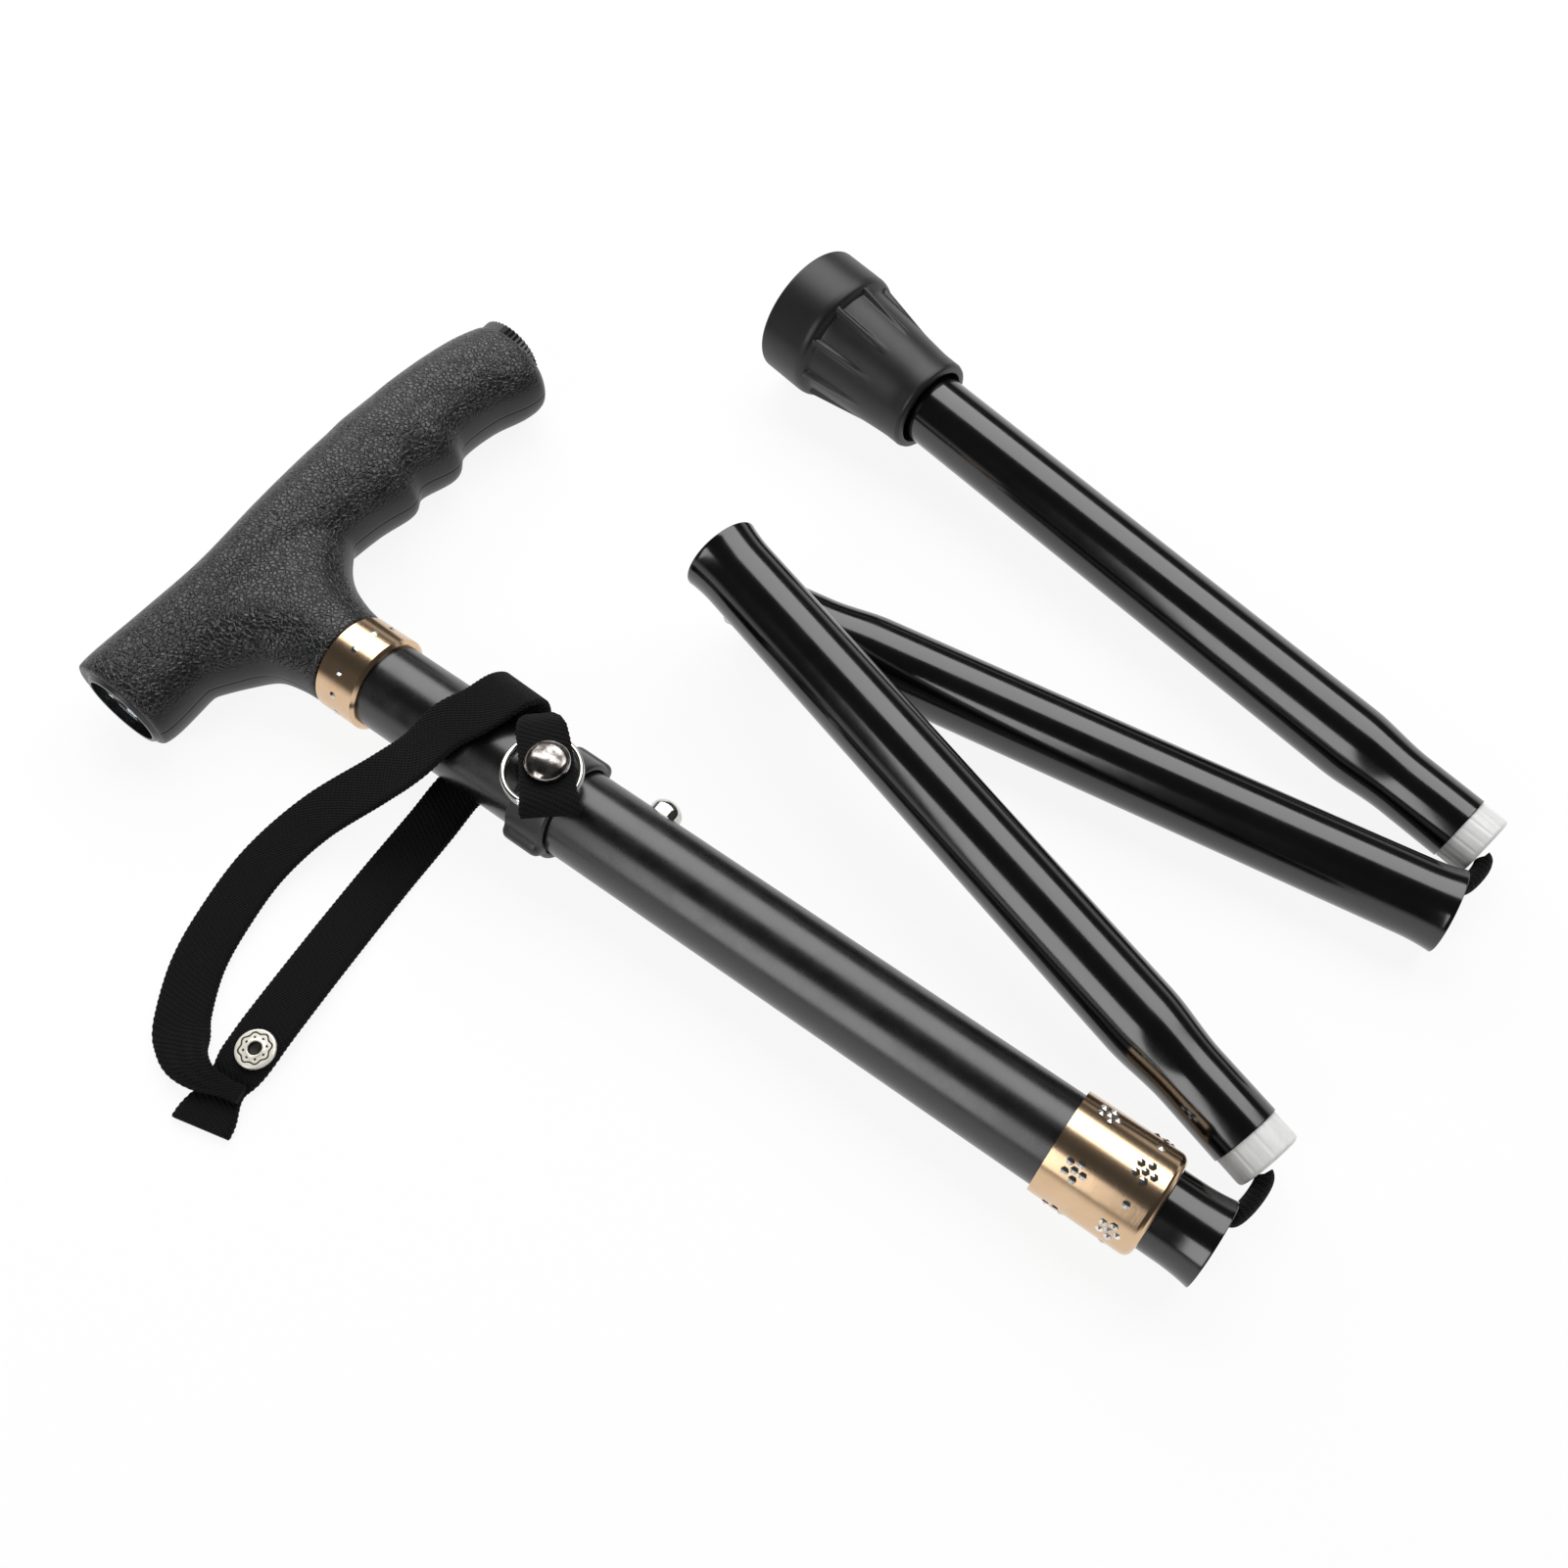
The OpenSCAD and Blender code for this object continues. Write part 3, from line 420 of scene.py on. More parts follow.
# Half widths and half thicknesses round the edge of a strip of webbing
FACE_SHARES = np.linspace(-0.93, 0.93, 13)
STRIP_SHARES = [
    *[(across, 1) for across in FACE_SHARES], (0.985, 0.6), (1, 0), (0.985, -0.6),
    *[(across, -1) for across in FACE_SHARES[::-1]], (-0.985, -0.6), (-1, 0), (-0.985, 0.6),
]
# Half waves of a ruffle across half of a strip
RUFFLE_WAVES = 3


def swept_strip(name, stations, widths, thick, material, ruffles=None):
    """A flat strip along stations of x, y, z and the heading of its width, with ruffles of a depth at each.
    Returns it and its length."""
    path = stations[:, :3]
    t = tangents(path)
    flat = np.column_stack([np.cos(stations[:, 3]), np.sin(stations[:, 3]), np.zeros(len(path))])
    n = unit(np.cross(t, flat))
    w = np.cross(n, t)
    shares = np.array(STRIP_SHARES)
    depths = np.zeros(len(path)) if ruffles is None else ruffles
    wave = np.cos(RUFFLE_WAVES * math.pi * shares[:, :1])
    rings = [
        p + ww * (shares[:, :1] * width / 2) + nn * (shares[:, 1:] * thick / 2 + wave * depth)
        for p, ww, nn, width, depth in zip(path, w, n, widths, depths)
    ]
    steps = np.linalg.norm(np.diff(path, axis=0), axis=1)
    return skin(name, rings, material, sharp=80), float(steps.sum())


def run_along(node, head):
    """A matrix whose X axis runs along a round solid from the end nearest its head, and its length."""
    end_face = 0.2 * MM
    points = np.unique(np.round([v.co for v in NODES[node].data.vertices], 6), axis=0)
    start = np.array([v.co for v in NODES[head].data.vertices]).mean(axis=0)
    axis = np.linalg.svd(points - points.mean(axis=0))[2][0]
    for _ in range(3):
        places = points @ axis
        first = points[places < places.min() + end_face].mean(0)
        last = points[places > places.max() - end_face].mean(0)
        near, far = sorted((first, last), key=lambda end: np.linalg.norm(end - start))
        axis = unit(far - near)
    x = Vector(axis)
    y = UP.cross(x).normalized()
    matrix = Matrix((x, y, x.cross(y))).transposed().to_4x4()
    matrix.translation = Vector(near)
    return matrix, float(np.linalg.norm(far - near))


def shaft_place(from_mouth=0.0, across=0.0):
    """A matrix at a place on the upper shaft, measured from its mouth towards the handle and across it."""
    return Matrix.Translation(SHAFT + Vector((-from_mouth, across, 0)))


def shaft_middle(node):
    """A matrix on the upper shaft's axis, level with the middle of a node."""
    low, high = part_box(node)
    return Matrix.Translation(((low.x + high.x) / 2, SHAFT.y, SHAFT.z))


def settle(piece, body, slot, *nodes):
    """The piece rides on a body and stands for the nodes, which it hides. Its slot is not used."""
    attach(piece, body)
    if nodes:
        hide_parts(*nodes)


def made_plain(piece):
    """Bakes a piece's modifiers into its mesh."""
    evaluated = piece.evaluated_get(bpy.context.evaluated_depsgraph_get())
    mesh = bpy.data.meshes.new_from_object(evaluated)
    piece.modifiers.clear()
    piece.data = mesh


def add_boolean(piece, other, operation):
    modifier = piece.modifiers.new(operation, "BOOLEAN")
    modifier.operation = operation
    modifier.solver = "EXACT"
    modifier.object = other


def cut(piece, cutters, sharp):
    """Takes the cutters out of a piece and removes them."""
    for cutter in cutters:
        add_boolean(piece, cutter, "DIFFERENCE")
    made_plain(piece)
    for cutter in cutters:
        bpy.data.objects.remove(cutter)
    smooth_shade(piece.data, sharp)


def fuse(piece, others, voxel, passes):
    """Joins the others to a piece, and blends them with cells of a size and passes of smoothing."""
    for other in others:
        add_boolean(piece, other, "UNION")
    cells = piece.modifiers.new("cells", "REMESH")
    cells.mode = "VOXEL"
    cells.voxel_size = voxel
    ease = piece.modifiers.new("ease", "SMOOTH")
    ease.factor = 0.5
    ease.iterations = passes
    made_plain(piece)
    for other in others:
        bpy.data.objects.remove(other)


# Materials

def begin_material(name, **sockets):
    """A new material whose Principled shader has its even values set on its own sockets.
    Returns it with its tree, its shader and the place on the piece that patterns read."""
    material = bpy.data.materials.new(name)
    material.use_nodes = True
    tree = material.node_tree
    shader = tree.nodes["Principled BSDF"]
    fill_inputs(tree, shader, {key.replace("_", " "): value for key, value in sockets.items()})
    place = add_node(tree, "ShaderNodeTexCoord").outputs["Object"]
    return material, tree, shader, place


def mottle(tree, shader, pattern, colours, roughness):
    """Lets a pattern take the colour from one tint to another, and the roughness with it."""
    low, high = colours
    tones = add_node(tree, "ShaderNodeMix", {"Factor": pattern, "A": linear(low), "B": linear(high)},
                     data_type="RGBA")
    spread = add_node(tree, "ShaderNodeMapRange",
                      {"Value": pattern, "To Min": roughness[0], "To Max": roughness[1]})
    fill_inputs(tree, shader, {"Base Color": tones, "Roughness": spread})


def moulded_grip(sizes):
    """Moulded soft PVC with a leather pebble on its broad faces: dull, with small glints on the pebbles.
    The pebble fades out towards the parting line at half thickness, which shows as a fine groove."""
    material, tree, shader, place = begin_material("moulded_pvc_grip", IOR=1.5, Specular_IOR_Level=0.55)
    warp_share = 0.4
    warp_reach_share = 0.9
    dome_share = 0.24
    groove_share = 1.6
    bare_to = 2.5 * MM
    covered_from = 8.5 * MM
    groove_floor = 0.15 * MM
    groove_edge = 0.5 * MM
    pebble_rise = 0.18 * MM
    blotch_width = 11.1 * MM
    warp = add_node(tree, "ShaderNodeTexNoise",
                    {"Vector": place, "Scale": warp_share / sizes.grain, "Detail": 2})
    bent = add_node(tree, "ShaderNodeVectorMath",
                    {0: warp.outputs["Color"], 1: (sizes.grain * warp_reach_share,) * 3, 2: place},
                    operation="MULTIPLY_ADD")
    pebbles = add_node(tree, "ShaderNodeTexVoronoi", {"Vector": bent, "Scale": 1 / sizes.grain},
                       feature="DISTANCE_TO_EDGE")
    height = add_node(tree, "ShaderNodeSeparateXYZ", {"Vector": place}).outputs["Z"]
    from_seam = add_node(tree, "ShaderNodeMath", {0: height, 1: SHAFT.z}, operation="SUBTRACT")
    apart = add_node(tree, "ShaderNodeMath", {0: from_seam}, operation="ABSOLUTE")
    covered = add_node(tree, "ShaderNodeMapRange",
                       {"Value": apart, "From Min": bare_to, "From Max": covered_from},
                       interpolation_type="SMOOTHSTEP")
    domes = add_node(tree, "ShaderNodeMapRange", {"Value": pebbles, "From Min": 0.0, "From Max": dome_share},
                     interpolation_type="SMOOTHSTEP")
    grain = add_node(tree, "ShaderNodeMath", {0: domes, 1: covered}, operation="MULTIPLY")
    groove = add_node(tree, "ShaderNodeMapRange",
                      {"Value": apart, "From Min": groove_floor, "From Max": groove_edge},
                      interpolation_type="SMOOTHSTEP")
    relief = add_node(tree, "ShaderNodeMath", {0: groove, 1: groove_share, 2: grain},
                      operation="MULTIPLY_ADD")
    bump = add_node(tree, "ShaderNodeBump", {"Height": relief, "Strength": 1.0, "Distance": pebble_rise})
    blotches = add_node(tree, "ShaderNodeTexNoise", {"Vector": place, "Scale": 1 / blotch_width, "Detail": 4})
    tones = add_node(tree, "ShaderNodeMix",
                     {"Factor": blotches, "A": linear(sizes.colour), "B": linear("#1a1b1c")},
                     data_type="RGBA")
    # Painted shade in the creases between the pebbles: where the pebble mask is low, the colour goes
    # near-black. This also darkens the smooth band by the parting line.
    crease_shade = add_node(tree, "ShaderNodeMix", {"Factor": grain, "A": linear("#090a0a"), "B": tones},
                    data_type="RGBA")
    dulled = add_node(tree, "ShaderNodeMapRange", {"Value": grain, "To Min": 0.42, "To Max": 0.29})
    fill_inputs(tree, shader, {"Base Color": crease_shade, "Roughness": dulled, "Normal": bump})
    return material


def black_tube(name, colour, rough, peel_rise):
    """Black enamelled aluminium tube: a dark mirror with a trace of orange peel and faint handling marks."""
    material, tree, shader, place = begin_material(name, IOR=1.5, Specular_IOR_Level=0.8)
    mark_width = 7.14 * MM
    peel_width = 2.4 * MM
    marks = add_node(tree, "ShaderNodeTexNoise",
                     {"Vector": place, "Scale": 1 / mark_width, "Detail": 5, "Roughness": 0.7})
    spread = add_node(tree, "ShaderNodeMapRange", {"Value": marks, "From Min": 0.35, "From Max": 0.75,
                                                    "To Min": rough, "To Max": rough * 1.35})
    tones = add_node(tree, "ShaderNodeMix",
                     {"Factor": marks, "A": linear(colour), "B": linear("#09090a")}, data_type="RGBA")
    peel = add_node(tree, "ShaderNodeTexNoise", {"Vector": place, "Scale": 1 / peel_width, "Detail": 2})
    bump = add_node(tree, "ShaderNodeBump", {"Height": peel, "Strength": 0.12, "Distance": peel_rise})
    fill_inputs(tree, shader, {"Base Color": tones, "Roughness": spread, "Normal": bump})
    return material


def gold_plate(colour):
    """Champagne gold plate on a turned brass ring: soft bands of light along it and fine lines round it."""
    material, tree, shader, place = begin_material("champagne_gold_plate", Metallic=1.0)
    line_width = 0.12 * MM
    line_len = 25 * MM
    line_depth = 0.03 * MM
    cloud_width = 6.25 * MM
    drawn = add_node(tree, "ShaderNodeMapping",
                     {"Vector": place, "Scale": (1 / line_width, 1 / line_len, 1 / line_len)})
    lines = add_node(tree, "ShaderNodeTexNoise", {"Vector": drawn, "Scale": 1, "Detail": 3})
    clouds = add_node(tree, "ShaderNodeTexNoise", {"Vector": place, "Scale": 1 / cloud_width, "Detail": 4})
    tones = add_node(tree, "ShaderNodeMix",
                     {"Factor": clouds, "A": linear(colour), "B": linear("#cfae88")}, data_type="RGBA")
    rough = add_node(tree, "ShaderNodeMapRange", {"Value": lines, "To Min": 0.15, "To Max": 0.25})
    bump = add_node(tree, "ShaderNodeBump", {"Height": lines, "Strength": 0.1, "Distance": line_depth})
    fill_inputs(tree, shader, {"Base Color": tones, "Roughness": rough, "Normal": bump})
    return material


def bright_nickel(name, colour, dull, rough):
    """Nickel-plated steel, polished: a clear mirror with a faint uneven haze."""
    material, tree, shader, place = begin_material(name, Metallic=1.0)
    haze_width = 2.38 * MM
    haze_depth = 0.05 * MM
    haze = add_node(tree, "ShaderNodeTexNoise", {"Vector": place, "Scale": 1 / haze_width, "Detail": 4})
    spread = add_node(tree, "ShaderNodeMapRange",
                      {"Value": haze, "To Min": rough * 0.6, "To Max": rough * 1.6})
    # The patches mix in the second tone. On most pieces it is a slightly duller nickel; on the snap it is
    # dark, as painted dark reflections.
    patches = add_node(tree, "ShaderNodeMapRange", {"Value": haze, "From Min": 0.36, "From Max": 0.62})
    tones = add_node(tree, "ShaderNodeMix", {"Factor": patches, "A": linear(colour), "B": linear(dull)},
                     data_type="RGBA")
    bump = add_node(tree, "ShaderNodeBump", {"Height": haze, "Strength": 0.04, "Distance": haze_depth})
    fill_inputs(tree, shader, {"Base Color": tones, "Roughness": spread, "Normal": bump})
    return material


def stamped_nickel(centre, radius):
    """Nickel-plated brass, stamped with a ring of petals: bright lands, dark tarnish in the lines, and
    painted shade in the sunk heart.
    The lines are drawn as wide as they need to be to show. Its pattern is drawn in shares of its radius."""
    material, tree, shader, place = begin_material("stamped_nickel", Metallic=0.4)
    petal_count = 8
    petal_depth_share = 0.05
    petal_edge_share = 0.76
    line_shares = (0.03, 0.065)
    pit_share = 0.56
    pit_narrowness = 12
    heart_shares = (0.33, 0.37)
    press_depth = 0.15 * MM
    near = add_node(tree, "ShaderNodeMapping", {"Vector": place, "Scale": (1 / radius, 1 / radius, 0),
                                                 "Location": (-centre.x / radius, -centre.y / radius, 0)})
    flat = add_node(tree, "ShaderNodeSeparateXYZ", {"Vector": near})
    out = add_node(tree, "ShaderNodeVectorMath", {0: near}, operation="LENGTH")
    angle = add_node(tree, "ShaderNodeMath", {0: flat.outputs["Y"], 1: flat.outputs["X"]},
                     operation="ARCTAN2")
    turns = add_node(tree, "ShaderNodeMath", {0: angle, 1: petal_count}, operation="MULTIPLY")
    wave = add_node(tree, "ShaderNodeMath", {0: turns}, operation="COSINE")
    edge = add_node(tree, "ShaderNodeMath", {0: wave, 1: petal_depth_share, 2: petal_edge_share},
                    operation="MULTIPLY_ADD")
    beside = add_node(tree, "ShaderNodeMath", {0: out, 1: edge}, operation="SUBTRACT")
    apart = add_node(tree, "ShaderNodeMath", {0: beside}, operation="ABSOLUTE")
    line = add_node(tree, "ShaderNodeMapRange",
                    {"Value": apart, "From Min": line_shares[0], "From Max": line_shares[1]})
    past = add_node(tree, "ShaderNodeMath", {0: out, 1: pit_share}, operation="SUBTRACT")
    off = add_node(tree, "ShaderNodeMath", {0: past, 1: pit_narrowness}, operation="MULTIPLY")
    square = add_node(tree, "ShaderNodeMath", {0: off, 1: 2}, operation="POWER")
    dot = add_node(tree, "ShaderNodeMath", {0: square, 1: wave}, operation="SUBTRACT")
    pit = add_node(tree, "ShaderNodeMapRange", {"Value": dot, "From Min": -0.7, "From Max": -0.3})
    # Painted shade: the sunk heart is coloured near-black.
    heart = add_node(tree, "ShaderNodeMapRange",
                     {"Value": out, "From Min": heart_shares[0], "From Max": heart_shares[1]})
    lands = add_node(tree, "ShaderNodeMath", {0: line, 1: pit}, operation="MULTIPLY")
    bright = add_node(tree, "ShaderNodeMath", {0: lands, 1: heart}, operation="MULTIPLY")
    mottle(tree, shader, bright, ("#1d1b16", "#f1ecdf"), (0.6, 0.3))
    bump = add_node(tree, "ShaderNodeBump", {"Height": bright, "Strength": 0.3, "Distance": press_depth})
    fill_inputs(tree, shader, {"Normal": bump})
    return material


def milky_nylon(colour):
    """Moulded nylon: milky white, a little see-through, with a soft shine and faint flow marks."""
    material, tree, shader, place = begin_material(
        "milky_nylon", IOR=1.53, Subsurface_Weight=0.25, Subsurface_Scale=1.5 * MM,
        Subsurface_Radius=(1.0, 0.95, 0.85))
    flow_width = 3.85 * MM
    flow_depth = 0.1 * MM
    flow = add_node(tree, "ShaderNodeTexNoise",
                    {"Vector": place, "Scale": 1 / flow_width, "Detail": 4, "Distortion": 1.2})
    mottle(tree, shader, flow, (colour, "#d6d6d4"), (0.28, 0.42))
    bump = add_node(tree, "ShaderNodeBump", {"Height": flow, "Strength": 0.08, "Distance": flow_depth})
    fill_inputs(tree, shader, {"Normal": bump})
    return material


def moulded_plastic(name, colour, rough, grit_width):
    """Moulded black plastic: satin, with a fine spark-eroded texture."""
    material, tree, shader, place = begin_material(name, IOR=1.5)
    grit_depth = 0.08 * MM
    grit = add_node(tree, "ShaderNodeTexNoise", {"Vector": place, "Scale": 1 / grit_width, "Detail": 3})
    mottle(tree, shader, grit, (colour, "#1f1f21"), (rough * 0.8, rough * 1.2))
    bump = add_node(tree, "ShaderNodeBump", {"Height": grit, "Strength": 0.25, "Distance": grit_depth})
    fill_inputs(tree, shader, {"Normal": bump})
    return material


def woven_black(name, colour, thread, bias, depth):
    """Woven polyester: matt black, with rows of small rounded threads and a soft sheen.
    The threads are drawn as wide as they need to be to show."""
    material, tree, shader, place = begin_material(
        name, Roughness=0.82, IOR=1.45, Specular_IOR_Level=0.2, Sheen_Weight=0.02, Sheen_Roughness=0.5)
    fuzz_width = 0.35 * MM
    fuzz_share = 0.9
    turns = 2 * math.pi / thread
    surface = add_node(tree, "ShaderNodeUVMap")
    across = add_node(tree, "ShaderNodeSeparateXYZ", {"Vector": surface})
    leaned = add_node(tree, "ShaderNodeMath", {0: across.outputs["X"], 1: bias, 2: across.outputs["Y"]},
                      operation="MULTIPLY_ADD")
    warp = add_node(tree, "ShaderNodeMath", {0: across.outputs["X"], 1: turns}, operation="MULTIPLY")
    weft = add_node(tree, "ShaderNodeMath", {0: leaned, 1: turns}, operation="MULTIPLY")
    warp_wave = add_node(tree, "ShaderNodeMath", {0: warp}, operation="SINE")
    weft_wave = add_node(tree, "ShaderNodeMath", {0: weft}, operation="SINE")
    crossed = add_node(tree, "ShaderNodeMath", {0: warp_wave, 1: weft_wave}, operation="MULTIPLY")
    fuzz = add_node(tree, "ShaderNodeTexNoise", {"Vector": place, "Scale": 1 / fuzz_width, "Detail": 3})
    relief = add_node(tree, "ShaderNodeMath", {0: fuzz, 1: fuzz_share, 2: crossed}, operation="MULTIPLY_ADD")
    bump = add_node(tree, "ShaderNodeBump", {"Height": relief, "Strength": 0.8, "Distance": depth})
    # Painted light and shade: the hollows between the threads go near-black, and the thread tops keep the
    # lighter colour.
    thread_shade = add_node(tree, "ShaderNodeMapRange", {"Value": relief, "From Min": -1, "From Max": 1.6})
    tones = add_node(tree, "ShaderNodeMix", {"Factor": thread_shade, "A": linear("#030304"), "B": linear(colour)},
                     data_type="RGBA")
    fill_inputs(tree, shader, {"Base Color": tones, "Normal": bump})
    return material


def tip_rubber(colour):
    """Moulded natural rubber: dull black with a greyish bloom and a very fine matt skin."""
    material, tree, shader, place = begin_material("moulded_rubber", IOR=1.52, Specular_IOR_Level=0.45)
    bloom_width = 13.3 * MM
    grit_width = 0.3 * MM
    grit_depth = 0.06 * MM
    bloom = add_node(tree, "ShaderNodeTexNoise",
                     {"Vector": place, "Scale": 1 / bloom_width, "Detail": 6, "Roughness": 0.65})
    mottle(tree, shader, bloom, (colour, "#171718"), (0.34, 0.48))
    grit = add_node(tree, "ShaderNodeTexNoise", {"Vector": place, "Scale": 1 / grit_width, "Detail": 3})
    bump = add_node(tree, "ShaderNodeBump", {"Height": grit, "Strength": 0.15, "Distance": grit_depth})
    fill_inputs(tree, shader, {"Normal": bump})
    return material


def clear_lens():
    """Clear moulded polycarbonate: glassy, with a faint film of dust."""
    material, tree, shader, place = begin_material("clear_polycarbonate", IOR=1.58, Transmission_Weight=1.0)
    dust_width = 3.33 * MM
    dust = add_node(tree, "ShaderNodeTexNoise", {"Vector": place, "Scale": 1 / dust_width, "Detail": 4})
    mottle(tree, shader, dust, ("#f4f8fa", "#e8eef2"), (0.0, 0.08))
    return material


def speckled(name, low, high, rough, metallic=0.0):
    """A plain inner piece, such as a board, a cell's sleeve or a spun reflector, with a fine mottle."""
    material, tree, shader, place = begin_material(name, Metallic=metallic)
    speck_width = 2.86 * MM
    specks = add_node(tree, "ShaderNodeTexNoise", {"Vector": place, "Scale": 1 / speck_width, "Detail": 4})
    mottle(tree, shader, specks, (low, high), (rough * 0.7, rough * 1.3))
    return material


def floor_paper(sizes):
    """Matt white paper. Part of its white is its own, so that shadows on it stay pale."""
    material = bpy.data.materials.new("white_paper")
    material.use_nodes = True
    tree = material.node_tree
    tree.nodes.clear()
    paper = add_node(tree, "ShaderNodeBsdfDiffuse", {"Color": linear(sizes.floor_colour)})
    glow = add_node(tree, "ShaderNodeEmission", {"Color": linear(sizes.sky_colour), "Strength": 1.0})
    rays = add_node(tree, "ShaderNodeLightPath").outputs
    shown = add_node(tree, "ShaderNodeMath", {0: rays["Is Camera Ray"], 1: rays["Is Glossy Ray"]},
                     operation="MAXIMUM")
    seen = add_node(tree, "ShaderNodeMath", {0: shown, 1: rays["Is Transmission Ray"]}, operation="MAXIMUM")
    glowing = add_node(tree, "ShaderNodeMath", {0: seen, 1: sizes.floor_share}, operation="MULTIPLY")
    mixed = add_node(tree, "ShaderNodeMixShader", {0: glowing, 1: paper, 2: glow})
    add_node(tree, "ShaderNodeOutputMaterial", {"Surface": mixed})
    return material


def shared_materials(scene):
    """Makes each finish once, and returns them by name."""
    tubes = scene.cane_tubes
    fittings = scene.cane_fittings
    strap = scene.cane_strap
    elastic = scene.cane_elastic
    wanted = {
        "moulded_pvc_grip": lambda name: moulded_grip(scene.cane_grip),
        "satin_enamel": lambda name: black_tube(name, tubes.colour, 0.24, 0.03 * MM),
        "gloss_enamel": lambda name: black_tube(name, tubes.colour, 0.13, 0.02 * MM),
        "champagne_gold_plate": lambda name: gold_plate(fittings.gold_colour),
        "bright_nickel": lambda name: bright_nickel(name, fittings.steel_colour, "#c3c0bb", 0.09),
        # The snap's dark second tone makes painted dark reflections in patches over the cap.
        "snap_nickel": lambda name: bright_nickel(name, "#b7b1ad", "#4a4542", 0.16),
        "cut_nickel": lambda name: bright_nickel(name, "#f0eeea", "#c3c0bb", 0.12),
        "milky_nylon": lambda name: milky_nylon(tubes.nylon_colour),
        "clip_plastic_black": lambda name: moulded_plastic(name, "#19191b", 0.38, 0.5 * MM),
        "torch_plastic": lambda name: moulded_plastic(name, "#141415", 0.3, 0.4 * MM),
        "woven_webbing": lambda name: woven_black(name, strap.colour, strap.thread, 0.5, 0.22 * MM),
        "braided_elastic": lambda name: woven_black(name, elastic.colour, elastic.braid, 1.0, 0.25 * MM),
        "moulded_rubber": lambda name: tip_rubber(scene.cane_tip.colour),
        "clear_polycarbonate": lambda name: clear_lens(),
        "spun_aluminium": lambda name: speckled(name, "#e6e6e6", "#cfcfd2", 0.12, 1.0),
        "lamp_board": lambda name: speckled(name, "#e9e4c9", "#d8cf9f", 0.4),
        "cell_sleeve": lambda name: speckled(name, "#31553c", "#3f6b4c", 0.35),
    }
    return {name: bpy.data.materials.get(name) or make(name) for name, make in wanted.items()}


# Operators

class CANE_OT_stage(Operator):
    """Makes the floor, the sky, the softboxes and the camera"""
    bl_idname = "cane.stage"
    bl_label = "Stage"

    SENSOR_MM = 36
    CAMERA_NEAREST = 10 * MM
    FLOOR_DROP = 0.1 * MM
    # Height of a direction, as a share, and the sky's strength there
    HORIZON_SHARE = 0.02
    HORIZON_STRENGTH = 0.8
    OVERHEAD_SHARE = 0.22
    OVERHEAD_STRENGTH = 0.05

    def execute(self, context):
        sizes = context.scene.cane_stage
        context.scene.view_settings.view_transform = "Standard"
        self.floor(sizes)
        self.sky(context, sizes)
        self.softbox("back_softbox", sizes.lamp_distance, sizes.back_lamp_angle, sizes.back_shift_angle,
                     sizes.back_lamp_length, sizes.back_lamp_width, sizes.back_lamp_power)
        self.softbox("front_softbox", sizes.lamp_distance, sizes.front_lamp_angle, sizes.front_shift_angle,
                     sizes.front_lamp_length, sizes.front_lamp_width, sizes.front_lamp_power)
        self.camera(context, sizes)
        return {"FINISHED"}

    def floor(self, sizes):
        half = sizes.floor_size / 2
        corners = [(x * half, y * half, -self.FLOOR_DROP) for x, y in ((-1, -1), (1, -1), (1, 1), (-1, 1))]
        mesh = bpy.data.meshes.new("floor")
        mesh.from_pydata(corners, [], [(0, 1, 2, 3)])
        mesh_object("floor", mesh, floor_paper(sizes))

    def sky(self, context, sizes):
        """White round the horizon and dark overhead, as in a tented studio."""
        world = bpy.data.worlds.new("studio")
        world.use_nodes = True
        tree = world.node_tree
        tree.nodes.clear()
        direction = add_node(tree, "ShaderNodeTexCoord").outputs["Generated"]
        height = add_node(tree, "ShaderNodeSeparateXYZ", {"Vector": direction}).outputs["Z"]
        fall = add_node(tree, "ShaderNodeMapRange",
                        {"Value": height, "From Min": self.HORIZON_SHARE, "From Max": self.OVERHEAD_SHARE,
                         "To Min": self.HORIZON_STRENGTH, "To Max": self.OVERHEAD_STRENGTH},
                        interpolation_type="SMOOTHSTEP")
        light = add_node(tree, "ShaderNodeBackground", {"Color": linear(sizes.sky_colour), "Strength": fall})
        add_node(tree, "ShaderNodeOutputWorld", {"Surface": light})
        context.scene.world = world

    def softbox(self, name, distance, angle, shift, long, width, power):
        """A rectangular lamp that leans from overhead across the shaft, and shifts towards the handle."""
        lamp = bpy.data.lights.new(name, "AREA")
        lamp.shape = "RECTANGLE"
        lamp.size = long
        lamp.size_y = width
        lamp.energy = power
        made = bpy.data.objects.new(name, lamp)
        side = math.cos(shift)
        back = Vector((-math.sin(shift), math.sin(angle) * side, math.cos(angle) * side))
        across = (ALONG - back * ALONG.dot(back)).normalized()
        turn = Matrix((across, back.cross(across), back)).transposed().to_4x4()
        turn.translation = back * distance
        made.matrix_world = turn
        made.visible_camera = False
        bpy.context.scene.collection.objects.link(made)

    def camera(self, context, sizes):
        lens = bpy.data.cameras.new("camera")
        lens.lens = sizes.camera_lens
        lens.sensor_width = self.SENSOR_MM
        lens.clip_start = self.CAMERA_NEAREST
        made = bpy.data.objects.new("camera", lens)
        place = Vector(sizes.camera_place)
        made.location = place
        made.rotation_euler = (Vector(sizes.camera_target) - place).to_track_quat("-Z", "Y").to_euler()
        context.scene.collection.objects.link(made)
        context.scene.camera = made


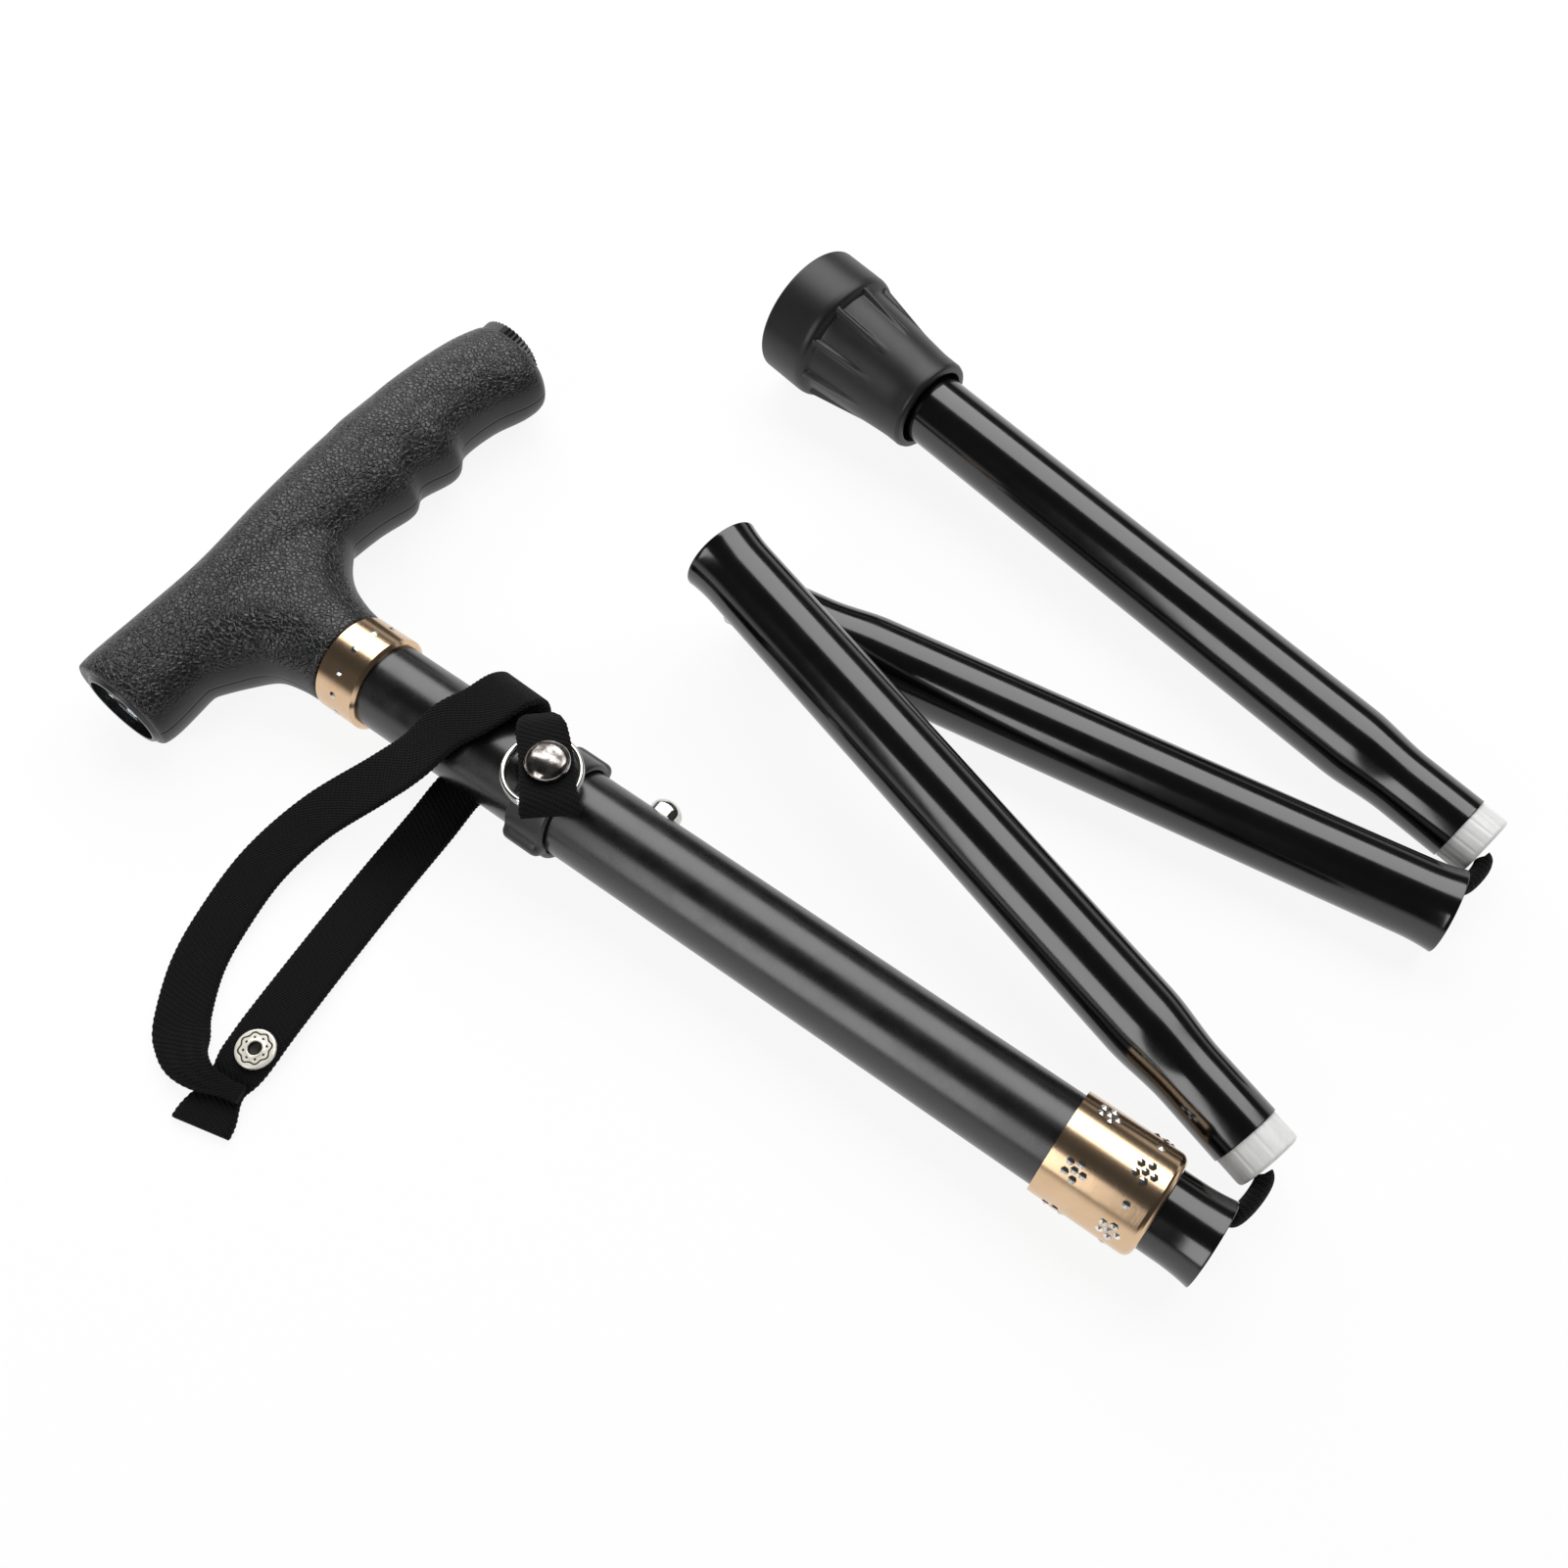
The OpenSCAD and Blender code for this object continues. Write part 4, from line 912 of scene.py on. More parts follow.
class CANE_OT_finishes(Operator):
    """Gives the solids that are kept their finishes"""
    bl_idname = "cane.finishes"
    bl_label = "Finishes"

    # The torch barrel is hidden in the grip, and keeps the frame's own material.
    KEPT = {
        "champagne_gold_plate": ["handle_band", "shaft_collar"],
        "satin_enamel": ["outer_tube"],
        "torch_plastic": ["torch_bezel", "torch_cap"],
        "clear_polycarbonate": ["torch_lens"],
        "spun_aluminium": ["torch_reflector"],
        "lamp_board": ["led_board"],
        "cell_sleeve": ["torch_cells"],
        "bright_nickel": ["cell_spring", "snap_spring", "tip_washer"],
        "milky_nylon": ["guide_bush", "top_guide", "cord_anchor", "tip_plug"],
        "braided_elastic": ["cord_knot"],
    }

    def execute(self, context):
        materials = shared_materials(context.scene)
        for finish, nodes in self.KEPT.items():
            for node in nodes:
                NODES[node].data.materials.clear()
                NODES[node].data.materials.append(materials[finish])
        return {"FINISHED"}


# Along the bar, its top edge, its underside and its thickness, each as a share
BAR_SHARES = [
    [0.00, 0.905, 0.070, 0.94], [0.04, 0.905, 0.050, 0.99], [0.15, 0.878, 0.080, 1],
    [0.28, 0.860, 0.120, 1], [0.43, 0.920, 0.130, 1], [0.55, 0.955, 0.085, 1],
    [0.628, 0.967, 0.004, 1], [0.668, 0.968, 0.075, 1], [0.742, 0.955, -0.024, 1],
    [0.79, 0.935, 0.085, 0.99], [0.87, 0.895, 0.045, 0.975], [0.935, 0.850, -0.070, 0.95],
    [0.975, 0.800, -0.090, 0.9], [1.00, 0.745, 0.000, 0.85],
]
# Up the neck, how far its two sides spread towards the bar's ends, and its thickness
NECK_SHARES = [
    [0.00, 0.000, 0.000, 1.00], [0.20, 0.013, 0.014, 1.00], [0.45, 0.093, 0.048, 1.01],
    [0.65, 0.339, 0.101, 1.01], [0.85, 0.656, 0.190, 1.00], [1.00, 0.847, 0.253, 0.97],
]


class CANE_OT_grip(Operator):
    """Makes the moulded T-shaped grip"""
    bl_idname = "cane.grip"
    bl_label = "Grip"

    SQUARENESS = 2.1
    RING_POINTS = 72
    SPAN_STEPS = 8
    SMOOTH_PASSES = 10
    CUT_OVER = 3 * MM

    def ring(self, half_width, half_thick):
        angles = np.linspace(0, 2 * math.pi, self.RING_POINTS, endpoint=False)
        power = 2 / self.SQUARENESS
        round_x = np.sign(np.cos(angles)) * np.abs(np.cos(angles))**power
        round_z = np.sign(np.sin(angles)) * np.abs(np.sin(angles))**power
        return half_width * round_x, half_thick * round_z

    def bar(self, sizes, start):
        rings = []
        for s, top_share, low_share, thick_share in spline(BAR_SHARES, self.SPAN_STEPS):
            top = sizes.bar_from_mouth + sizes.bar_depth * top_share
            low = sizes.bar_from_mouth + sizes.bar_depth * low_share
            x, z = self.ring((top - low) / 2, sizes.bar_thick / 2 * min(1, thick_share))
            y = np.full(len(x), start + sizes.bar_len * s)
            rings.append(np.column_stack([x - (top + low) / 2, y, z]))
        return np.array(rings)

    def neck(self, sizes, start):
        rings = []
        for s, lens_share, finger_share, thick_share in spline(NECK_SHARES, self.SPAN_STEPS):
            low = -sizes.neck_r - (-start - sizes.neck_r) * lens_share
            high = sizes.neck_r + (sizes.bar_len + start - sizes.neck_r) * finger_share
            y, z = self.ring((high - low) / 2, sizes.neck_r * thick_share)
            x = np.full(len(y), -sizes.neck_from_mouth - sizes.neck_rise * s)
            rings.append(np.column_stack([x, y + (high + low) / 2, z]))
        return np.array(rings)

    def execute(self, context):
        sizes = context.scene.cane_grip
        material = shared_materials(context.scene)["moulded_pvc_grip"]
        start = -sizes.bar_len * sizes.lens_side_share
        place = np.array(SHAFT)
        grip = skin("grip", self.bar(sizes, start) + place, material)
        neck = skin("grip_neck", self.neck(sizes, start) + place, material)
        fuse(grip, [neck], sizes.voxel, self.SMOOTH_PASSES)
        over = self.CUT_OVER
        torch = shaft_place(sizes.torch_from_mouth, start) @ TO_SIDE
        tube = shaft_place(sizes.neck_from_mouth) @ TO_BACK
        cut(grip, [
            rod("bezel_cut", sizes.bezel_r, -over, sizes.bezel_depth, torch, material),
            rod("barrel_cut", sizes.barrel_r, -over, sizes.bar_len + over, torch, material),
            rod("shaft_cut", sizes.tube_r, -over, sizes.tube_depth, tube, material),
        ], sharp=45)
        settle(grip, "upper_shaft", "leather_grip", "handle")
        return {"FINISHED"}


class CANE_OT_tubes(Operator):
    """Makes the swaged lower tubes, the inner tube and the fluted plugs"""
    bl_idname = "cane.tubes"
    bl_label = "Tubes and plugs"

    FLARE_POINTS = 9
    TAPER_POINTS = 17
    TAPER_EASE_SHARE = 0.5
    LIP_SHARE = 0.9
    NOSE_ROUND = 1.0 * MM
    HOLE_ROUND = 0.4 * MM
    SEAT_GAP = 0.05 * MM
    FLUTE_POINTS = 10
    FLUTE_SHARPNESS = 3
    FLUTES_FROM = 0.9 * MM
    DRILL_LEN = 20 * MM

    def flared(self, sizes, end, inset):
        """The outside or inside of a flared mouth, from the straight tube to its edge."""
        shares = np.linspace(0, 1, self.FLARE_POINTS)
        radius = sizes.tube_r - inset + (sizes.mouth_r - sizes.tube_r) * shares**2
        return np.column_stack([radius, end - sizes.mouth_flare * (1 - shares)])

    def necked(self, sizes, inset, neck_inset):
        """The outside or inside of the taper between the neck and the full tube."""
        ease = self.TAPER_EASE_SHARE * sizes.taper_len
        end = sizes.neck_len + sizes.taper_len + ease
        places = np.linspace(sizes.neck_len - ease, end, self.TAPER_POINTS)
        shares = smooth_step(places[0], places[-1], places)
        low = sizes.neck_r - neck_inset
        return np.column_stack([low + (sizes.tube_r - inset - low) * shares, places])

    def edge(self, sizes, outer, inner, place, way):
        """A rounded cut edge between two radii."""
        r = sizes.lip_r
        rounding = r * self.LIP_SHARE
        return rounded([(outer, place + way * r, 0), (outer, place, rounding), (inner, place, rounding),
                        (inner, place + way * r, 0)])[1:-1]

    def section(self, name, node, plug, body, sizes, material, flared):
        place, run = run_along(node, plug)
        outer = [self.necked(sizes, 0, 0)]
        inner = [self.necked(sizes, sizes.wall, sizes.neck_wall)[::-1]]
        mouth_r = sizes.mouth_r if flared else sizes.tube_r
        if flared:
            outer.append(self.flared(sizes, run, 0)[:-1])
            inner.insert(0, self.flared(sizes, run, sizes.wall)[::-1][1:])
        lip = self.edge(sizes, mouth_r, mouth_r - sizes.wall, run, -1)
        start = self.edge(sizes, sizes.neck_r, sizes.neck_r - sizes.neck_wall, 0, 1)[::-1]
        outline = np.vstack([start, *outer, lip, *inner])
        settle(turned(name, outline, place, material), body, "black_tube", node)

    def plug(self, name, node, tube, body, sizes, material):
        tube_place, _ = run_along(tube, node)
        place = tube_place @ Matrix.Translation((-sizes.plug_out, 0, 0))
        shoulder = sizes.plug_out - self.SEAT_GAP
        end = sizes.plug_out + sizes.plug_stem
        outline = rounded([
            (sizes.plug_hole_r, 0, self.HOLE_ROUND), (sizes.plug_r, 0, self.NOSE_ROUND),
            (sizes.plug_r, shoulder, 0), (sizes.plug_stem_r, shoulder, 0),
            (sizes.plug_stem_r, end, self.HOLE_ROUND), (sizes.plug_hole_r, end, 0),
        ])
        between_r = (sizes.plug_stem_r + sizes.plug_r) / 2

        def flutes(radius, x, angles):
            wave = np.clip(1 - self.FLUTE_SHARPNESS * (1 - np.cos(sizes.flutes * angles)), 0, 1)
            return -sizes.flute_depth * wave * (radius > between_r) * (x > self.FLUTES_FROM)

        sides = sizes.flutes * self.FLUTE_POINTS
        made = turned(name, outline, place, material, sides=sides, ripple=flutes, sharp=40)
        settle(made, body, "nylon", node)

    def inner(self, sizes, material):
        run = INNER_HIGH.x - INNER_LOW.x
        outer = self.flared(sizes, 0, 0)[:-1]
        inner = self.flared(sizes, 0, sizes.wall)[::-1][1:]
        lip = self.edge(sizes, sizes.mouth_r, sizes.mouth_r - sizes.wall, 0, -1)
        top = self.edge(sizes, sizes.tube_r, sizes.tube_r - sizes.wall, -run, 1)[::-1]
        made = turned("inner_tube_gloss", np.vstack([top, outer, lip, inner]), shaft_place(), material)
        hole = shaft_middle("snap_button") @ TO_SIDE
        cut(made, [rod("button_drill", sizes.button_hole_r, 0, self.DRILL_LEN, hole, material)], sharp=50)
        settle(made, "inner_shaft", "black_tube", "inner_tube")

    def execute(self, context):
        sizes = context.scene.cane_tubes
        materials = shared_materials(context.scene)
        gloss = materials["gloss_enamel"]
        for k in (2, 3, 4):
            body = f"section_{k}"
            tube = f"section_{k}_tube"
            plug = f"section_{k}_plug"
            self.section(f"tube_{k}", tube, plug, body, sizes, gloss, flared=k < 4)
            self.plug(f"plug_{k}", plug, tube, body, sizes, materials["milky_nylon"])
        self.inner(sizes, gloss)
        return {"FINISHED"}


def ornament_tree():
    """Geometry nodes for a ring of cut flowers or dots round the shaft."""
    dot_sides = 6
    tree = bpy.data.node_groups.new("cut_flowers", "GeometryNodeTree")
    sockets = [
        ("Ring Radius", "NodeSocketFloat"), ("Count", "NodeSocketInt"), ("Turn", "NodeSocketFloat"),
        ("Petals", "NodeSocketInt"), ("Petal Spread", "NodeSocketFloat"), ("Dot Radius", "NodeSocketFloat"),
        ("Dot Rise", "NodeSocketFloat"), ("Place", "NodeSocketVector"), ("Finish", "NodeSocketMaterial"),
    ]
    tree.interface.new_socket("Geometry", in_out="INPUT", socket_type="NodeSocketGeometry")
    for name, kind in sockets:
        tree.interface.new_socket(name, in_out="INPUT", socket_type=kind)
    tree.interface.new_socket("Geometry", in_out="OUTPUT", socket_type="NodeSocketGeometry")
    given = add_node(tree, "NodeGroupInput").outputs
    dot = add_node(tree, "GeometryNodeMeshCone",
                   {"Vertices": dot_sides, "Radius Top": 0.0, "Radius Bottom": given["Dot Radius"],
                    "Depth": given["Dot Rise"]})
    petals = add_node(tree, "GeometryNodeMeshCircle",
                      {"Vertices": given["Petals"], "Radius": given["Petal Spread"]})
    petal_dots = add_node(tree, "GeometryNodeInstanceOnPoints", {"Points": petals, "Instance": dot})
    flower = add_node(tree, "GeometryNodeJoinGeometry", {"Geometry": petal_dots})
    fill_inputs(tree, flower, {"Geometry": dot})
    circle = add_node(tree, "GeometryNodeMeshCircle",
                      {"Vertices": given["Count"], "Radius": given["Ring Radius"]})
    turn = add_node(tree, "ShaderNodeCombineXYZ", {"Z": given["Turn"]})
    turned_ring = add_node(tree, "GeometryNodeTransform", {"Geometry": circle, "Rotation": turn})
    upright = add_node(tree, "GeometryNodeTransform",
                       {"Geometry": turned_ring, "Rotation": (0, math.pi / 2, 0)})
    outward = add_node(tree, "GeometryNodeInputPosition")
    facing = add_node(tree, "FunctionNodeAlignRotationToVector", {"Vector": outward}, axis="Z")
    flowers = add_node(tree, "GeometryNodeInstanceOnPoints",
                       {"Points": upright, "Instance": flower, "Rotation": facing})
    moved = add_node(tree, "GeometryNodeTransform", {"Geometry": flowers, "Translation": given["Place"]})
    real = add_node(tree, "GeometryNodeRealizeInstances", {"Geometry": moved})
    dressed = add_node(tree, "GeometryNodeSetMaterial", {"Geometry": real, "Material": given["Finish"]})
    add_node(tree, "NodeGroupOutput", {"Geometry": dressed})
    return tree


class CANE_OT_ornament(Operator):
    """Sets rings of faceted flowers and dots on the gold band and the gold collar"""
    bl_idname = "cane.ornament"
    bl_label = "Gold ornament"

    # Place along the ring as a share, count round it, angle of one of them from the top in degrees, petals
    BAND_ROW_SHARES = [(0.5, 12, -6, 0)]
    COLLAR_ROW_SHARES = [(0.25, 5, 38, 5), (0.735, 5, 3, 5), (0.745, 5, 39, 0)]
    STAND_OFF = 0.02 * MM

    def row(self, tree, name, node, row, sizes, material):
        along, count, angle, petals = row
        low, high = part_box(node)
        made = mesh_object(name, bpy.data.meshes.new(name), material)
        modifier = made.modifiers.new("flowers", "NODES")
        modifier.node_group = tree
        values = {
            "Ring Radius": (high.y - low.y) / 2 + self.STAND_OFF,
            "Count": count,
            "Turn": math.pi - math.radians(angle),
            "Petals": petals,
            "Petal Spread": sizes.flower_r,
            "Dot Radius": sizes.dot_r,
            "Dot Rise": sizes.dot_rise,
            "Place": (low.x + (high.x - low.x) * along, SHAFT.y, SHAFT.z),
            "Finish": material,
        }
        for socket in tree.interface.items_tree:
            if socket.in_out == "INPUT" and socket.name in values:
                modifier[socket.identifier] = values[socket.name]
        made_plain(made)
        settle(made, "upper_shaft", "bright_metal")

    def execute(self, context):
        sizes = context.scene.cane_fittings
        material = shared_materials(context.scene)["cut_nickel"]
        tree = ornament_tree()
        for node, rows in (("handle_band", self.BAND_ROW_SHARES), ("shaft_collar", self.COLLAR_ROW_SHARES)):
            for k, row in enumerate(rows):
                self.row(tree, f"{node}_cuts_{k + 1}", node, row, sizes, material)
        return {"FINISHED"}


class CANE_OT_fittings(Operator):
    """Makes the snap button, the snap cap, the split ring and the strap clip"""
    bl_idname = "cane.fittings"
    bl_label = "Fittings"

    DOME_POINTS = 17
    BUTTON_FLANGE = 1 * MM
    BUTTON_CROWN_SHARE = 0.78
    SNAP_RIM = 0.35 * MM
    SNAP_CROWN_SHARE = 0.97
    # The snap's crown starts this many rims up.
    SNAP_CROWN_RIMS = 2.2
    RING_POINTS = 193
    # Where the split ring's wire steps past itself, in half turns
    RING_STEP_FROM = 1.55
    RING_STEP_TO = 2.45
    CLIP_BORE_GAP = 0.1 * MM
    CLIP_BORE_ROUND = 0.2 * MM
    CLIP_VOXEL = 0.45 * MM
    CLIP_SMOOTH_PASSES = 5
    # A bulge's ends are rounded by this many edges.
    LUG_EDGES = 2.2

    def dome(self, radius, base, top, rounding):
        """An outline from the axis out to a domed head, and over it to the axis again."""
        angles = np.linspace(0, math.pi / 2, self.DOME_POINTS)
        arc = np.column_stack([radius * np.cos(angles), top - rounding + rounding * np.sin(angles)])
        return np.vstack([[[0, base], [radius, base]], arc])

    def button(self, sizes, material):
        low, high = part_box("snap_button")
        top = high.y - SHAFT.y
        base = low.y - SHAFT.y
        step = base + self.BUTTON_FLANGE
        flange_r = (high.x - low.x) / 2
        head = self.dome(sizes.button_r, step, top, self.BUTTON_CROWN_SHARE * sizes.button_r)
        outline = np.vstack([[[0, base], [flange_r, base], [flange_r, step]], head[1:]])
        place = shaft_middle("snap_button") @ TO_SIDE
        made = turned("button_head", outline, place, material, sides=64, looped=False, sharp=40)
        settle(made, "button", "bright_metal", "snap_button")

    def snap(self, sizes, material):
        low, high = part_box("snap_cap")
        place = Matrix.Translation(((low.x + high.x) / 2, (low.y + high.y) / 2, low.z)) @ TO_TOP
        rise = high.z - low.z
        rim = self.SNAP_RIM
        foot = rounded([(sizes.snap_r, 0, rim), (sizes.snap_r, 2 * rim, rim)])
        crown_r = self.SNAP_CROWN_SHARE * sizes.snap_r
        crown = self.dome(crown_r, 0, rise, rise - self.SNAP_CROWN_RIMS * rim)[2:]
        outline = np.vstack([[[0, 0]], foot, crown])
        made = turned("snap_dome", outline, place, material, sides=72, looped=False, sharp=60)
        settle(made, "upper_shaft", "bright_metal", "snap_cap")

    def split_ring(self, sizes, material):
        """Two close turns of wire, with its ends stepping past each other."""
        low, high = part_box("strap_ring")
        centre = np.array((low + high) / 2)
        radius = (high.x - low.x) / 2 - sizes.wire_r
        rise = (high.z - low.z) / 2 - sizes.wire_r
        turns = np.linspace(0, 4 * math.pi, self.RING_POINTS)
        step = smooth_step(self.RING_STEP_FROM * math.pi, self.RING_STEP_TO * math.pi, turns)
        path = np.column_stack([radius * np.cos(turns), radius * np.sin(turns), rise * (2 * step - 1)])
        made = swept_cord("split_ring", path + centre, sizes.wire_r, UP, material, sides=14)
        settle(made, "upper_shaft", "bright_metal", "strap_ring")

    def clip(self, sizes, material):
        low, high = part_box("strap_clip")
        tube_low, tube_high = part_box("outer_tube")
        middle = shaft_middle("strap_clip")
        width = high.x - low.x
        half = width / 2
        bore = (tube_high.z - tube_low.z) / 2 + self.CLIP_BORE_GAP
        edge = sizes.clip_edge
        ring_outline = rounded([(bore, -half, self.CLIP_BORE_ROUND), (sizes.clip_r, -half, edge),
                                (sizes.clip_r, half, edge), (bore, half, self.CLIP_BORE_ROUND)])
        ring = turned("clip", ring_outline, middle, material)
        end_round = self.LUG_EDGES * edge
        lug_outline = rounded([(0, -half, 0), (sizes.lug_r, -half, end_round), (sizes.lug_r, half, end_round),
                               (0, half, 0)], steps=9)
        lugs = []
        for side in (-1, 1):
            place = middle @ Matrix.Translation((0, side * (sizes.clip_r - sizes.lug_sink), 0))
            lugs.append(turned("clip_lug", lug_outline, place, material, sides=48, looped=False))
        fuse(ring, lugs, self.CLIP_VOXEL, self.CLIP_SMOOTH_PASSES)
        cut(ring, [rod("clip_bore", bore, -width, width, middle, material)], sharp=50)
        settle(ring, "upper_shaft", "clip_plastic", "strap_clip")

    def execute(self, context):
        sizes = context.scene.cane_fittings
        materials = shared_materials(context.scene)
        self.button(sizes, materials["bright_nickel"])
        self.snap(sizes, materials["snap_nickel"])
        self.split_ring(sizes, materials["bright_nickel"])
        self.clip(sizes, materials["clip_plastic_black"])
        return {"FINISHED"}


# Along and across the shaft as shares of the reach, height in thicknesses, heading of the width in degrees
RISING_LEG_SHARES = [
    [0.078, -0.900, 1.3, 86], [0.028, -0.911, 1.35, 84], [-0.022, -0.921, 1.3, 80],
    [-0.072, -0.914, 0.95, 66], [-0.115, -0.889, 0.45, 52], [-0.158, -0.850, 0.1, 40],
    [-0.220, -0.744, 0.16, 22], [-0.252, -0.624, 0.66, 10], [-0.265, -0.484, 1.66, -3],
    [-0.234, -0.338, 3.8, -18], [-0.150, -0.201, 8.2, -30], [-0.093, -0.128, 12.2, -34],
]
FALLING_LEG_SHARES = [
    [-0.046, -0.085, 0.03, 6], [-0.038, -0.184, 0, 6], [-0.029, -0.338, 0, 6], [-0.016, -0.493, 0.15, 6],
    [0.001, -0.644, 0.6, 6], [0.017, -0.760, 1.12, 6], [0.025, -0.815, 1.14, 6], [0.028, -0.860, 0.75, 6],
    [0.028, -0.900, 0.1, 6], [0.036, -0.945, 0, 6], [0.050, -1, 0.05, 6],
]
# Angle round the tube from its top, slack and place along the tube as shares, heading of the width
WRAP_SHARES = [
    [-20, 0.2, -0.48, -26], [13, 0.3, -0.2, -14], [45, 0.75, -0.1, -5], [72, 0.92, -0.1, -2],
    [100, 0.75, -0.1, -2], [130, 0.4, -0.15, 0], [162, 0.1, -0.24, 2], [198, 0.1, -0.3, 4],
]
# Along the shaft, across it and down, each as a share, and the heading of the width
TAB_SHARES = [
    [-0.290, 0.253, 0.20, 39], [-0.224, 0.190, 0.04, 39], [-0.118, 0.100, 0, 39], [-0.013, 0, 0, 39],
    [0.095, -0.116, 0, 38], [0.163, -0.187, 0.01, 37], [0.213, -0.245, 0.12, 36],
]
# Along the tab, its width
TAB_WIDTH_SHARES = [
    (0, 0.55), (0.07, 0.8), (0.2, 0.95), (0.5, 1), (0.8, 1.04), (0.95, 1.12), (1, 1.06),
]
# From the rim of the eyelet rivet to its sunk heart, its radius and its height
RIVET_SHARES = [
    (1, 0), (1, 0.45), (0.975, 0.7), (0.93, 0.8), (0.86, 0.82), (0.5, 0.86), (0.44, 0.98), (0.39, 1),
    (0.35, 0.9), (0.32, 0.4), (0.3, 0.25),
]


class CANE_OT_strap(Operator):
    """Makes the wrist strap, the snap tab and the eyelet rivet"""
    bl_idname = "cane.strap"
    bl_label = "Wrist strap"

    STRAP_STEPS = 44
    TAB_STEPS = 16
    RIVET_STEPS = 4
    # The rising leg is gathered in towards its sewn end.
    GATHERED_TO = 2 * MM
    GATHERED_FROM = 24 * MM
    GATHERED_SHARE = 0.68
    GATHERED_RUFFLE = 0.4 * MM
    # The falling leg is drawn in at the seam, and its tail spreads.
    WAIST_FROM_END = 10 * MM
    WAIST_WIDTH = 4 * MM
    WAIST_SHARE = 0.22
    WAIST_RUFFLE = 0.12 * MM
    TAIL_TO = 1 * MM
    TAIL_FROM = 8 * MM
    TAIL_SHARE = 0.12

    def leg(self, sizes, shares):
        along, across, height, heading = shares
        return [SHAFT.x + sizes.reach * along - sizes.from_mouth, SHAFT.y + sizes.reach * across,
                sizes.clear + sizes.thick * (0.5 + height), math.radians(heading)]

    def wrap(self, sizes, shares):
        angle, slack, along, heading = shares
        r = sizes.tube_r + sizes.thick / 2 + sizes.wrap_gap + sizes.slack * slack
        return [SHAFT.x + sizes.width * along - sizes.from_mouth, SHAFT.y + r * math.sin(math.radians(angle)),
                SHAFT.z + r * math.cos(math.radians(angle)), math.radians(heading)]

    def scalloped(self, sizes, stations, width):
        """The width at each station, with the weft's loops along both edges, and how far along each lies."""
        run = run_of(stations[:, :3])
        return width - 2 * sizes.scallop * (0.5 + 0.5 * np.cos(2 * math.pi * run / sizes.thread)), run

    def strap(self, sizes, material):
        route = [self.leg(sizes, shares) for shares in RISING_LEG_SHARES]
        route += [self.wrap(sizes, shares) for shares in WRAP_SHARES]
        route += [self.leg(sizes, shares) for shares in FALLING_LEG_SHARES]
        stations = spline(route, self.STRAP_STEPS)
        widths, run = self.scalloped(sizes, stations, sizes.width)
        from_end = run[-1] - run
        gathered = 1 - smooth_step(self.GATHERED_TO, self.GATHERED_FROM, run)
        waist = np.exp(-((from_end - self.WAIST_FROM_END) / self.WAIST_WIDTH)**2)
        tail = 1 - smooth_step(self.TAIL_TO, self.TAIL_FROM, from_end)
        drawn_in = 1 - self.GATHERED_SHARE * gathered
        widths = widths * drawn_in * (1 - self.WAIST_SHARE * waist + self.TAIL_SHARE * tail)
        gathers = np.sin(math.pi * np.clip(gathered, 0, 1))
        ruffles = self.GATHERED_RUFFLE * gathers + self.WAIST_RUFFLE * waist
        made, total = swept_strip("strap_webbing", stations, widths, sizes.thick, material, ruffles=ruffles)
        settle(made, "upper_shaft", "webbing", "wrist_strap")

    def tab(self, sizes, material):
        route = [
            [SHAFT.x - sizes.clip_from_mouth + sizes.tab_len * along, SHAFT.y + sizes.tab_len * across,
             SHAFT.z + sizes.tab_rise - sizes.tab_drop * down, math.radians(heading)]
            for along, across, down, heading in TAB_SHARES
        ]
        stations = spline(route, self.TAB_STEPS)
        widths, run = self.scalloped(sizes, stations, sizes.tab_width)
        widths = widths * np.interp(run / run[-1], *zip(*TAB_WIDTH_SHARES))
        made, total = swept_strip("tab_webbing", stations, widths, sizes.tab_thick, material)
        settle(made, "upper_shaft", "webbing", "strap_tab")

    def rivet(self, sizes):
        """A stamped eyelet: a flat rim with a ring of petals pressed into it, and a sunk heart."""
        low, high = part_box("strap_rivet")
        centre = (low + high) / 2
        place = Matrix.Translation((centre.x, centre.y, low.z)) @ TO_TOP
        r = sizes.rivet_r
        rise = high.z - low.z
        profile = spline([[out * r, up * rise] for out, up in RIVET_SHARES], self.RIVET_STEPS)
        outline = np.vstack([[[0, 0]], profile, [[0, RIVET_SHARES[-1][1] * rise]]])
        made = turned("eyelet", outline, place, stamped_nickel(centre, r), sides=128, looped=False, sharp=70)
        settle(made, "upper_shaft", "bright_metal", "strap_rivet")

    def execute(self, context):
        sizes = context.scene.cane_strap
        webbing = shared_materials(context.scene)["woven_webbing"]
        self.strap(sizes, webbing)
        self.tab(sizes, webbing)
        self.rivet(sizes)
        return {"FINISHED"}


